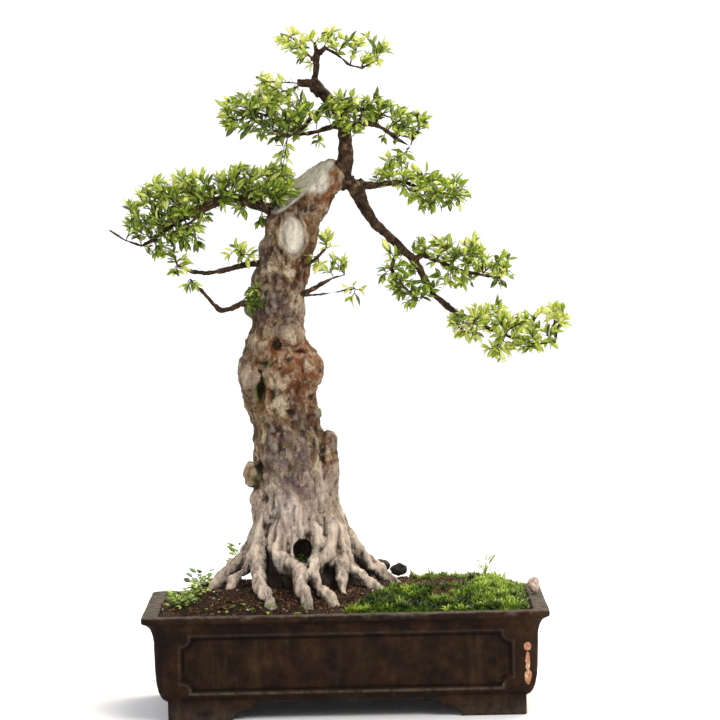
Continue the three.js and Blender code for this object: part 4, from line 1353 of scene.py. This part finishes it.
# %% Leaves in the clouds
def leaf_spots(places, parents, radii, children, dice, young):
    """Where each leaf sits, which way it points and faces, its size and its tint."""
    spots = []
    middle = places.mean(0)
    reach = np.linalg.norm(places - middle, axis=1).max()
    for node, parent in enumerate(parents):
        if parent < 0 or radii[node] > 1.4 * MM:
            continue
        way = places[node] - places[parent]
        way /= np.linalg.norm(way)
        outward = (places[node] - middle) / max(reach, 1e-6)
        at_tip = not children[node]
        count = dice.choice((4, 5, 5, 6)) if at_tip else dice.choice((1, 1, 2))
        start = dice.uniform(0, 2 * math.pi)
        side = np.cross(way, (0.2, 0.3, 0.9))
        side /= np.linalg.norm(side)
        other = np.cross(way, side)
        for leaf in range(count):
            angle = start + leaf * (2.4 if at_tip else math.pi)
            spread = dice.uniform(0.5, 1.3) if at_tip else dice.uniform(0.9, 1.7)
            along = way + spread * (side * math.cos(angle) + other * math.sin(angle))
            along = along / np.linalg.norm(along) + outward * 0.25 + (0, 0, 0.22)
            up = np.array((dice.gauss(0, 0.55), dice.gauss(0, 0.55) - 0.25, 1.0))
            size = dice.uniform(0.52, 1.05) * (0.88 if at_tip else 1)
            # Painted light at the top and outside of a cloud, painted shade underneath and inside; tips are
            # lighter below as young growth.
            tint = 0.42 + young + 0.22 * outward[2] + 0.12 * np.linalg.norm(outward) + dice.gauss(0, 0.25)
            tint += 0.14 if at_tip else -0.08
            place = places[node] + way * dice.uniform(-0.3, 0.3) * STEP
            spots.append((place, along, up, size, np.clip(tint, 0.02, 1)))
    return spots


leaf_shape = shelved(leaf_mesh)
total_leaves = 0
for number, cloud in enumerate(CLOUDS):
    dice = random.Random(100 + number)
    short = cloud.removeprefix("foliage_")
    points = spread_points(cloud, dice)
    places, parents = grow_twigs(points, starts_for(points, cloud))
    radii, children = twig_radii(places, parents)
    twigs = twig_mesh(places, parents, radii, children)
    paint(twigs, "hollow", np.zeros(len(twigs.vertices)))
    add_piece("twigs_" + short, twigs, stem_bark)
    spots = leaf_spots(places, parents, radii, children, dice, YOUNG.get(cloud, 0.0))
    total_leaves += len(spots)
    add_leaves("leaves_" + short, spots, leaf_shape, leaf_material, [cloud])
print("leaves:", total_leaves)

# %% [markdown]
# The soil is a heap of crumbs. A fine sheet follows the plain solid's top, is closed underneath, and is
# roughened into clods; loose crumbs and flakes of bark are then strewn over it by a second node tree, which
# throws copies of a shape over a surface at a given density, each with its own turn and size.

# %% Soil sheet
SHEET_STEP = 2.5 * MM
LOWEST_EARTH = 100 * MM
FILL_ROUNDS = 160


def sheet_over(skin, low, high, base, lift):
    """A closed body whose top follows a skin's top between two corners."""
    xs = np.arange(low[0], high[0] + SHEET_STEP / 2, SHEET_STEP)
    ys = np.arange(low[1], high[1] + SHEET_STEP / 2, SHEET_STEP)
    tops = np.full((len(xs), len(ys)), np.nan)
    for i, x in enumerate(xs):
        for j, y in enumerate(ys):
            hit, normal = drop(skin, x, y)
            if hit and normal.z > 0.4 and hit.z > LOWEST_EARTH:
                tops[i, j] = hit.z
    known = ~np.isnan(tops)
    tops[~known] = np.nanmean(tops)
    for _ in range(FILL_ROUNDS):
        padded = np.pad(tops, 1, mode="edge")
        soft = (padded[2:, 1:-1] + padded[:-2, 1:-1] + padded[1:-1, 2:] + padded[1:-1, :-2]) / 4
        tops[~known] = soft[~known]
    co = np.array([(x, y, tops[i, j]) for i, x in enumerate(xs) for j, y in enumerate(ys)])
    co[:, 2] += lift(co)
    rows, columns = len(xs), len(ys)
    n = len(co)
    vertices = np.concatenate([co, co * (1, 1, 0) + (0, 0, base)])
    at = np.arange(n).reshape(rows, columns)
    squares = at[:-1, :-1], at[1:, :-1], at[1:, 1:], at[:-1, 1:]
    faces = np.column_stack([corner.ravel() for corner in squares])
    border = np.concatenate([at[:, 0], at[-1, 1:], at[-2::-1, -1], at[0, -2:0:-1]])
    after = np.roll(border, -1)
    walls = np.column_stack([border + n, after + n, after, border])
    under = [(border + n).tolist()[::-1]]
    sheet = mesh_of("sheet", vertices, faces.tolist() + walls.tolist() + under)
    clean = bmesh.new()
    clean.from_mesh(sheet)
    loose = [v for v in clean.verts if not v.link_faces]
    bmesh.ops.delete(clean, geom=loose, context="VERTS")
    clean.to_mesh(sheet)
    clean.free()
    return sheet


def clods(co):
    """How far the clods and crumbs of the earth stand up at each point."""
    heap = noise_at(co, 30 * MM, 3) * 3.6 + noise_at(co, 8 * MM, 3, shift=3.1) * 2.4
    return (heap + noise_at(co, 2.8 * MM, 1, shift=8.2) * 0.5) * MM


soil_skin = skin_of("soil")
soil_low, soil_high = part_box("soil")
soil_mesh = sheet_over(soil_skin, soil_low, soil_high, 41 * MM, clods)
print("soil:", len(soil_mesh.vertices), "points")

# %% [markdown]
# Damp potting earth is nearly black in its hollows and red-brown where crumbs have dried, with pale grit.
# Loose crumbs use the same material with lighter and darker tints, so that a handful of them reads as
# separate grains.

# %% Earth materials
def make_earth(name, swatches, width):
    """Earth whose colour follows its grains, made lighter or darker by the tint of each point."""
    material, tree = new_material(name)
    place = add_node(tree, "ShaderNodeTexCoord").outputs["Object"]
    gritty = {"Scale": 1 / width, "Detail": 5.0, "Roughness": 0.7}
    grains = add_node(tree, "ShaderNodeTexNoise", gritty, {"Vector": place})
    tint = add_node(tree, "ShaderNodeAttribute", {"attribute_name": "tint"}).outputs["Fac"]
    shift = add_node(tree, "ShaderNodeMath", {"operation": "MULTIPLY_ADD", 1: 0.5, 2: -0.25}, {0: tint})
    mixed = add_node(tree, "ShaderNodeMath", {"operation": "ADD"}, {0: grains, 1: shift})
    bump = add_node(tree, "ShaderNodeBump", {"Strength": 0.7, "Distance": 0.001}, {"Height": grains})
    end_material(tree, {"Roughness": 0.92, "Specular IOR Level": 0.2}, {
        "Base Color": ramp(tree, mixed, swatches), "Normal": bump,
    })
    return material


earth = make_earth("damp_potting_earth", [
    (0.3, "#0b0604"), (0.45, "#20130b"), (0.58, "#3b2617"), (0.72, "#664830"),
], 5 * MM)
paint(soil_mesh, "tint", np.full(len(soil_mesh.vertices), 0.45))
add_piece("potting_soil", soil_mesh, earth, ["soil"])

# %% [markdown]
# What lies loose has fallen where it liked, so it is thrown over a surface by the thousand. Each point of
# the surface says how thickly it is strewn, and each copy gets its own turn, size and tint. A lean keeps
# flakes and blades near upright while crumbs tumble freely.

# %% The tree that strews shapes
def make_strewer():
    """A node tree that throws copies of a shape over a surface."""
    tree, given = new_tree("strew_over_surface", {
        "Surface": "Geometry", "Shape": "Object", "Finish": "Material", "Per Square Metre": "Float",
        "Smallest": "Float", "Largest": "Float", "Tilt": "Float", "Seed": "Int",
    })
    asked = given.outputs
    seed, tilt = {"Seed": asked["Seed"]}, asked["Tilt"]
    thickly, own_tint = (
        add_node(tree, "GeometryNodeInputNamedAttribute", {"data_type": "FLOAT", "Name": name})
        for name in ("strewn", "tint")
    )
    density = add_node(tree, "ShaderNodeMath", {"operation": "MULTIPLY"}, {
        0: asked["Per Square Metre"], 1: thickly,
    })
    spots = add_node(tree, "GeometryNodeDistributePointsOnFaces", links={
        "Mesh": asked["Surface"], "Density": density, **seed,
    })
    lean = add_node(tree, "ShaderNodeMath", {"operation": "MULTIPLY", 1: -1.0}, {0: tilt})
    low = add_node(tree, "ShaderNodeCombineXYZ", links={0: lean, 1: lean})
    high = add_node(tree, "ShaderNodeCombineXYZ", {2: 2 * math.pi}, {0: tilt, 1: tilt})
    turn = add_node(tree, "FunctionNodeRandomValue", {"data_type": "FLOAT_VECTOR"}, seed)
    size = add_node(tree, "FunctionNodeRandomValue", {"data_type": "FLOAT"}, seed)
    for source, socket in (
        (low.outputs[0], turn.inputs[0]), (high.outputs[0], turn.inputs[1]),
        (asked["Smallest"], size.inputs[2]), (asked["Largest"], size.inputs[3]),
    ):
        tree.links.new(source, socket)
    rotation = add_node(tree, "FunctionNodeEulerToRotation", links={0: turn.outputs[0]})
    spread = add_node(tree, "FunctionNodeRandomValue", {"data_type": "FLOAT", "Seed": 7})
    tint = add_node(tree, "ShaderNodeMath", {"operation": "MULTIPLY_ADD", 1: 0.5}, {
        0: spread.outputs[1], 2: own_tint,
    })
    marked = add_node(tree, "GeometryNodeStoreNamedAttribute", {"data_type": "FLOAT", "Name": "tint"}, {
        "Geometry": spots.outputs["Points"], "Value": tint,
    })
    end_tree(tree, given, marked, rotation, size.outputs[1])
    return tree


STREWER = make_strewer()


def strew(name, slot, surface, shape, material, density, smallest, largest, tilt, seed):
    """A piece made of copies of a shape thrown over a surface, so many to the square metre."""
    copies = run_tree(STREWER, surface, {
        "Shape": shape, "Finish": material, "Per Square Metre": float(density),
        "Smallest": float(smallest), "Largest": float(largest), "Tilt": float(tilt), "Seed": seed,
    })
    add_piece(name, copies, material)


def make_pebble(name, seed, flat):
    """A lump about a millimetre across with 20 faces, to be repeated."""
    ball = bmesh.new()
    bmesh.ops.create_icosphere(ball, subdivisions=1, radius=0.5 * MM)
    dice = random.Random(seed)
    for v in ball.verts:
        v.co *= dice.uniform(0.7, 1.25)
        v.co.z *= flat
    mesh = bpy.data.meshes.new(name)
    ball.to_mesh(mesh)
    ball.free()
    return shelved(mesh)


print(STREWER.name, "has", len(STREWER.nodes), "nodes")


# %% [markdown]
# The bare earth at the left and front carries most of the crumbs. Under the moss there are none. The
# numbers that say how thickly each point is strewn come from the height of the moss bed's plain solid.

# %% Crumbs and bark flakes
moss_skin = skin_of("moss_bed")


def under_moss(co):
    """1 where moss covers a point, else 0."""
    hits = [drop(moss_skin, x, y)[0] for x, y, _ in co]
    return np.array([0.0 if hit is None else 1.0 for hit in hits])


def top_only(mesh):
    """A copy of a closed sheet's upper side."""
    copy = bmesh.new()
    copy.from_mesh(mesh)
    hidden = [f for f in copy.faces if f.normal.z < 0.2]
    bmesh.ops.delete(copy, geom=hidden, context="FACES")
    made = bpy.data.meshes.new("upper_side")
    copy.to_mesh(made)
    copy.free()
    return made


def clear_of_trunk(co):
    """1 in the open, 0 inside the trunk's outline."""
    inside = []
    for point in co:
        near, normal, _, _ = trunk_skin.find_nearest(Vector(point))
        inside.append(0.0 if (Vector(point) - near).dot(normal) < 0 else 1.0)
    return np.array(inside)


earth_top = top_only(soil_mesh)
earth_places = places_of(earth_top)
bare = (1 - under_moss(earth_places)) * clear_of_trunk(earth_places)
paint(earth_top, "tint", np.full(len(earth_places), 0.25))
drifts = smooth_step(noise_at(earth_places, 30 * MM, 2, shift=1.7), -0.3, 0.3)
paint(earth_top, "strewn", bare * (0.4 + 0.9 * drifts))
crumb_earth = make_earth("dry_earth_crumbs", [
    (0.28, "#0f0906"), (0.48, "#2a1a10"), (0.62, "#4d3421"), (0.8, "#806246"),
], 3 * MM)
strew(
    "soil_crumbs", "soil", earth_top, make_pebble("crumb", 3, 0.8), crumb_earth,
    density=45000, smallest=1.4, largest=4.6, tilt=3.1, seed=11,
)
strew(
    "bark_flakes", "soil", earth_top, make_pebble("flake", 8, 0.3), crumb_earth,
    density=9000, smallest=3.5, largest=9, tilt=0.7, seed=12,
)

# %% [markdown]
# The right-hand side is carpeted with moss, and short grass has seeded itself in it. The bed is a remeshed
# copy of its plain solid, swollen into cushions, with thousands of short blades in tufts over it. Where the
# cushions dip, the blades are fewer and brown earth shows through.

# %% Moss bed and short grass
def make_blade_tuft(name, blades, height, width, spread, seed):
    """A few closed blades, three-sided and bent outwards, that grow from the origin; sizes in millimetres."""
    height, width, spread = height * MM, width * MM, spread * MM
    dice = random.Random(seed)
    vertices, faces = [], []
    for blade in range(blades):
        angle = blade * 2.4 + dice.uniform(-0.4, 0.4)
        out = np.array((math.cos(angle), math.sin(angle), 0))
        side = np.array((-out[1], out[0], 0))
        tall = height * dice.uniform(0.6, 1.1)
        foot = out * spread * 0.3
        for share, wide in ((-0.15, 1.0), (0.5, 0.8)):
            middle = foot + out * spread * max(share, 0) ** 1.6 + (0, 0, tall * share)
            half = width / 2 * wide
            vertices += [middle - side * half, middle + side * half, middle - out * half * 0.5]
        vertices.append(foot + out * spread + (0, 0, tall))
        a = blade * 7
        low, high, tip = (a, a + 1, a + 2), (a + 3, a + 4, a + 5), a + 6
        turns = ((0, 1), (1, 2), (2, 0))
        faces += [(low[k], low[after], high[after], high[k]) for k, after in turns]
        faces += [(high[k], high[after], tip) for k, after in turns]
        faces.append(low[::-1])
    mesh = mesh_of(name, vertices, faces)
    paint(mesh, "edge", np.full(len(vertices), 0.5))
    return shelved(mesh)


BALD, BALD_HALF = (0.122, -0.075), (0.020, 0.03)
SUNNY, SUNNY_HALF = (0.085, 0.06), (0.02, 0.04)


def patch(co, middle, half):
    """1 in the middle of an oval patch of ground, fading to 0 outside it."""
    return np.exp(-(((co[:, :2] - middle) / half) ** 2).sum(1))


def sculpt_moss():
    """The moss bed swollen into cushions, with the numbers its material and its blades need."""
    mesh = after_modifiers(
        merged_copy("moss_bed"),
        ("REMESH", {"mode": "VOXEL", "voxel_size": 2.2 * MM}),
        ("SMOOTH", {"factor": 0.5, "iterations": 5}),
    )
    co, no = places_of(mesh), normals_of(mesh)
    cushions = np.abs(noise_at(co, 24 * MM, 2)) * 9 - 1.2 + noise_at(co, 5 * MM, 2, shift=2.2) * 1.4
    up = smooth_step(no[:, 2], 0.2, 0.8)
    co[:, 2] += cushions * up * MM
    set_places(mesh, co)
    bald = patch(co, BALD, BALD_HALF)
    earthy = np.clip(smooth_step(-cushions, -0.4, 1.0) + bald, 0, 1)
    paint(mesh, "hollow", earthy)
    sunny = np.exp(-((co[:, 0] - 0.19) / 0.03) ** 2) + patch(co, SUNNY, SUNNY_HALF)
    tint = 0.18 + noise_at(co, 20 * MM, 3, shift=6.6) * 0.9 + 0.35 * sunny
    paint(mesh, "tint", np.clip(tint, -0.2, 0.8))
    paint(mesh, "strewn", up * (1 - 0.85 * np.clip(bald * 1.4, 0, 1)) * (1 - 0.5 * earthy))
    return mesh


def make_moss_material():
    """Moss with brown earth where it dips."""
    material, tree = new_material("living_cushion_moss")
    place = add_node(tree, "ShaderNodeTexCoord").outputs["Object"]
    cushiony = {"Scale": 1 / 0.0035, "Detail": 5.0, "Roughness": 0.7}
    pile = add_node(tree, "ShaderNodeTexNoise", cushiony, {"Vector": place})
    colour = ramp(tree, pile, [(0.32, "#141a06"), (0.46, "#2c3f0d"), (0.58, "#4d6a19"), (0.72, "#7c9430")])
    hollow = add_node(tree, "ShaderNodeAttribute", {"attribute_name": "hollow"}).outputs["Fac"]
    earthy = add_node(tree, "ShaderNodeMapRange", {"From Min": 0.35, "From Max": 0.8}, {"Value": hollow})
    mixed = blend(tree, earthy, colour, ramp(tree, pile, [(0.35, "#1d120a"), (0.65, "#5a3f28")]))
    bump = add_node(tree, "ShaderNodeBump", {"Strength": 0.8, "Distance": 0.0015}, {"Height": pile})
    end_material(tree, {"Roughness": 0.95, "Specular IOR Level": 0.15}, {"Base Color": mixed, "Normal": bump})
    return material


moss_mesh = sculpt_moss()
GRASS_GREENS = ["#18280a", "#33500f", "#5a8018", "#8cae2c", "#c6da55"]
grass_material = make_leaf_material("short_living_grass", GRASS_GREENS, 0.3)
add_piece("moss_cushions", moss_mesh, make_moss_material(), ["moss_bed"])
# Name, shape (blades, height, width and spread in millimetres, seed), and how it is strewn (how many to the
# square metre, smallest, largest, tilt, seed).
TUFTS = [
    ("moss_fronds", "moss_tuft", (6, 4, 2.2, 4.5, 4), (42000, 0.5, 1.3, 0.5, 20)),
    ("short_grass", "low_tuft", (3, 7, 1.3, 5, 5), (22000, 0.4, 1.1, 0.5, 21)),
    ("taller_grass", "high_tuft", (3, 15, 1.5, 9, 6), (2600, 0.5, 1.15, 0.4, 22)),
]
for name, tuft, shape, throw in TUFTS:
    strew(name, "moss", moss_mesh, make_blade_tuft(tuft, *shape), grass_material, *throw)

# %% [markdown]
# Seedlings have come up where birds and wind left them: a pale broad-leaved one at the left rim, a blue-
# green one behind it, a feathery one behind the roots, and a clump of grass at the right. Each fills the
# place of its plain solid with leaves on thin stalks. A little green also grows in the mouth of the hollow
# between the roots.

# %% Seedlings
STALK_RADII = [0.55 * MM, 0.45 * MM, 0.35 * MM]
LOWEST_HIT = 110 * MM


def sprout(node, count, shape, material, size, fan, seed, name):
    """Leaves on stalks that fan out from the foot of a node's box."""
    dice = random.Random(seed)
    low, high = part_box(node)
    foot = np.array(((low.x + high.x) / 2, (low.y + high.y) / 2, low.z - 3 * MM))
    reach = np.array(high - low) * (0.5, 0.5, 1)
    spots, vertices, faces = [], [], []
    for leaf in range(count):
        angle = leaf * 2.4 + dice.uniform(-0.3, 0.3)
        away = np.array((math.cos(angle), math.sin(angle), 0)) * fan
        rise = dice.uniform(0.15, 0.8)
        end = foot + reach * (away * (1.1 - 0.5 * rise) * dice.uniform(0.4, 0.9) + (0, 0, rise))
        middle = (foot + end) / 2 + (0, 0, 2 * MM) - away * MM
        tube_vertices, tube_faces = tube([foot, middle, end], STALK_RADII, 4)
        faces += [tuple(k + len(vertices) for k in face) for face in tube_faces]
        vertices += tube_vertices
        along = away + np.array((0, 0, dice.uniform(0.2, 0.9)))
        up = np.array((dice.gauss(0, 0.4), dice.gauss(0, 0.4) - 0.3, 1.0))
        spots.append((end, along, up, size * dice.uniform(0.7, 1.1), dice.uniform(0.3, 0.8)))
    stalks = mesh_of(name + "_stalks", vertices, faces)
    paint(stalks, "tint", np.full(len(vertices), 0.5))
    paint(stalks, "edge", np.full(len(vertices), 0.6))
    add_piece(name + "_stalks", stalks, material)
    add_leaves(name, spots, shape, material, [node])


broad_leaf = shelved(make_leaf("broad_leaf", 13 * MM, 8 * MM))
small_leaf = shelved(make_leaf("small_leaf", 8 * MM, 4 * MM))
grass_blade = shelved(make_leaf("grass_blade", 22 * MM, 2.2 * MM, fold=0.5, bend=0.3))
PALE_GREENS = ["#3f5f1c", "#6f9434", "#a5c452", "#cfe07c"]
BLUE_GREENS = ["#27472e", "#476f48", "#74a06c", "#a8c796"]
pale_weed = make_leaf_material("pale_seedling_leaf", PALE_GREENS, 0.35)
blue_weed = make_leaf_material("blue_green_seedling_leaf", BLUE_GREENS, 0.3)
sprout("weed_left_rim", 16, broad_leaf, pale_weed, 0.9, 1.0, 31, "rim_seedling")
sprout("weed_left_back", 18, broad_leaf, blue_weed, 0.9, 1.0, 32, "back_seedling")
sprout("fern_behind_root", 46, small_leaf, pale_weed, 1.5, 1.2, 33, "root_fern")
sprout("grass_tuft", 16, grass_blade, pale_weed, 0.8, 0.5, 34, "grass_clump")


def creeping_spots(centre, half, count, seed, size):
    """Leaves close to the ground in an oval patch, from its centre and half sizes in millimetres."""
    dice = random.Random(seed)
    spots = []
    while len(spots) < count:
        x = (centre[0] + dice.gauss(0, 0.5) * half[0]) * MM
        y = (centre[1] + dice.gauss(0, 0.5) * half[1]) * MM
        hit, _ = drop(soil_skin, x, y)
        if hit is None or hit.z < LOWEST_HIT:
            continue
        turn = dice.uniform(0, 2 * math.pi)
        along = (math.cos(turn), math.sin(turn), dice.uniform(0, 0.8))
        up = (dice.gauss(0, 0.4), dice.gauss(0, 0.4) - 0.2, 1)
        rise = dice.uniform(3, 9) * MM
        place = np.array(hit) + (0, 0, rise)
        spots.append((place, along, up, size * dice.uniform(0.6, 1.1), dice.uniform(0.1, 0.9)))
    return spots


left_patch = creeping_spots((-196, -62), (26, 36), 110, 61, 0.75)
left_patch += creeping_spots((-180, 20), (34, 40), 70, 62, 0.7)
left_patch += creeping_spots((-110, -118), (50, 14), 26, 63, 0.55)
add_leaves("creeping_seedlings", left_patch, broad_leaf, pale_weed)


def hollow_green():
    """Leaves in the mouth of the hollow between the roots."""
    dice = random.Random(41)
    mouth = on_trunk(-52, 183)
    spots = []
    for _ in range(34):
        place = mouth + np.array((dice.gauss(0, 5), dice.uniform(3, 10), dice.gauss(4, 6))) * MM
        up = (dice.gauss(0, 0.5), dice.gauss(-0.4, 0.4), 1)
        along = (dice.gauss(0, 0.6), -0.8, dice.uniform(0.1, 1.0))
        spots.append((place, along, up, dice.uniform(0.5, 0.95), dice.uniform(0.1, 0.6)))
    return spots


add_leaves("hollow_seedlings", hollow_green(), small_leaf, grass_material)

# %% [markdown]
# Last come the things that lie about: two dark stones behind the right-hand roots, a pale pinkish one on
# the rim, grains of white perlite that have worked up through the earth, and a few leaves the tree has
# dropped.

# %% Stones, perlite and fallen leaves
def sculpt_stone(node):
    """A broken stone with worn facets, from a node's plain solid."""
    mesh = after_modifiers(
        merged_copy(node),
        ("REMESH", {"mode": "VOXEL", "voxel_size": 0.9 * MM}),
        ("SMOOTH", {"factor": 0.5, "iterations": 6}),
    )
    co, no = places_of(mesh), normals_of(mesh)
    facets = np.clip(noise_at(co, 9 * MM, 2) * 2.5, -0.7, 0.7) * 1.3 + noise_at(co, 2.5 * MM, 2) * 0.35
    set_places(mesh, co + no * facets[:, None] * MM)
    return mesh


def make_stone_material(name, swatches):
    """Dry stone in three swatches, dark to light."""
    material, tree = new_material(name)
    place = add_node(tree, "ShaderNodeTexCoord").outputs["Object"]
    gritty = {"Scale": 1 / 0.004, "Detail": 6.0, "Roughness": 0.7}
    clouds = add_node(tree, "ShaderNodeTexNoise", gritty, {"Vector": place})
    colour = ramp(tree, clouds, list(zip((0.35, 0.5, 0.65), swatches)))
    bump = add_node(tree, "ShaderNodeBump", {"Strength": 0.5, "Distance": 0.0006}, {"Height": clouds})
    end_material(tree, {"Roughness": 0.8, "IOR": 1.5, "Specular IOR Level": 0.3}, {
        "Base Color": colour, "Normal": bump,
    })
    return material


dark_rock = make_stone_material("broken_lava_rock", ["#14100e", "#262120", "#45403c"])
pale_rock = make_stone_material("weathered_pink_limestone", ["#8d7468", "#bda497", "#dccdc2"])
for name, node, rock, slot in (
    ("lava_rock_large", "dark_stone_large", dark_rock, "dark_stone"),
    ("lava_rock_small", "dark_stone_small", dark_rock, "dark_stone"),
    ("limestone_on_rim", "pale_stone", pale_rock, "pale_stone"),
):
    add_piece(name, sculpt_stone(node), rock, [node])
perlite = make_stone_material("expanded_perlite", ["#cfcac0", "#e6e2da", "#f4f2ee"])
strew(
    "perlite_grains", "soil", earth_top, make_pebble("grain", 4, 0.9), perlite,
    density=900, smallest=1.6, largest=3.6, tilt=3.1, seed=13,
)


FALLEN_LEAVES = 22


def fallen_leaf_spots():
    """Dropped leaves that lie on the earth, none against the trunk."""
    dice = random.Random(51)
    spots = []
    while len(spots) < FALLEN_LEAVES:
        x, y = dice.uniform(-205, 60) * MM, dice.uniform(-140, 120) * MM
        hit, normal = drop(soil_skin, x, y)
        if hit is None or normal.z < 0.5 or trunk_skin.find_nearest(hit, 12 * MM)[0] is not None:
            continue
        turn = dice.uniform(0, 2 * math.pi)
        along = (math.cos(turn), math.sin(turn), dice.uniform(-0.1, 0.3))
        up = (dice.gauss(0, 0.25), dice.gauss(0, 0.25) - 0.2, 1)
        place = np.array(hit) + (0, 0, 3.5 * MM)
        spots.append((place, along, up, dice.uniform(0.5, 0.85), dice.uniform(0, 1)))
    return spots


DRY_COLOURS = ["#4a3216", "#7d6428", "#a89a3c", "#b6c24c"]
dry_leaf = make_leaf_material("fallen_drying_leaf", DRY_COLOURS, 0.2)
add_leaves("fallen_leaves", fallen_leaf_spots(), leaf_shape, dry_leaf)
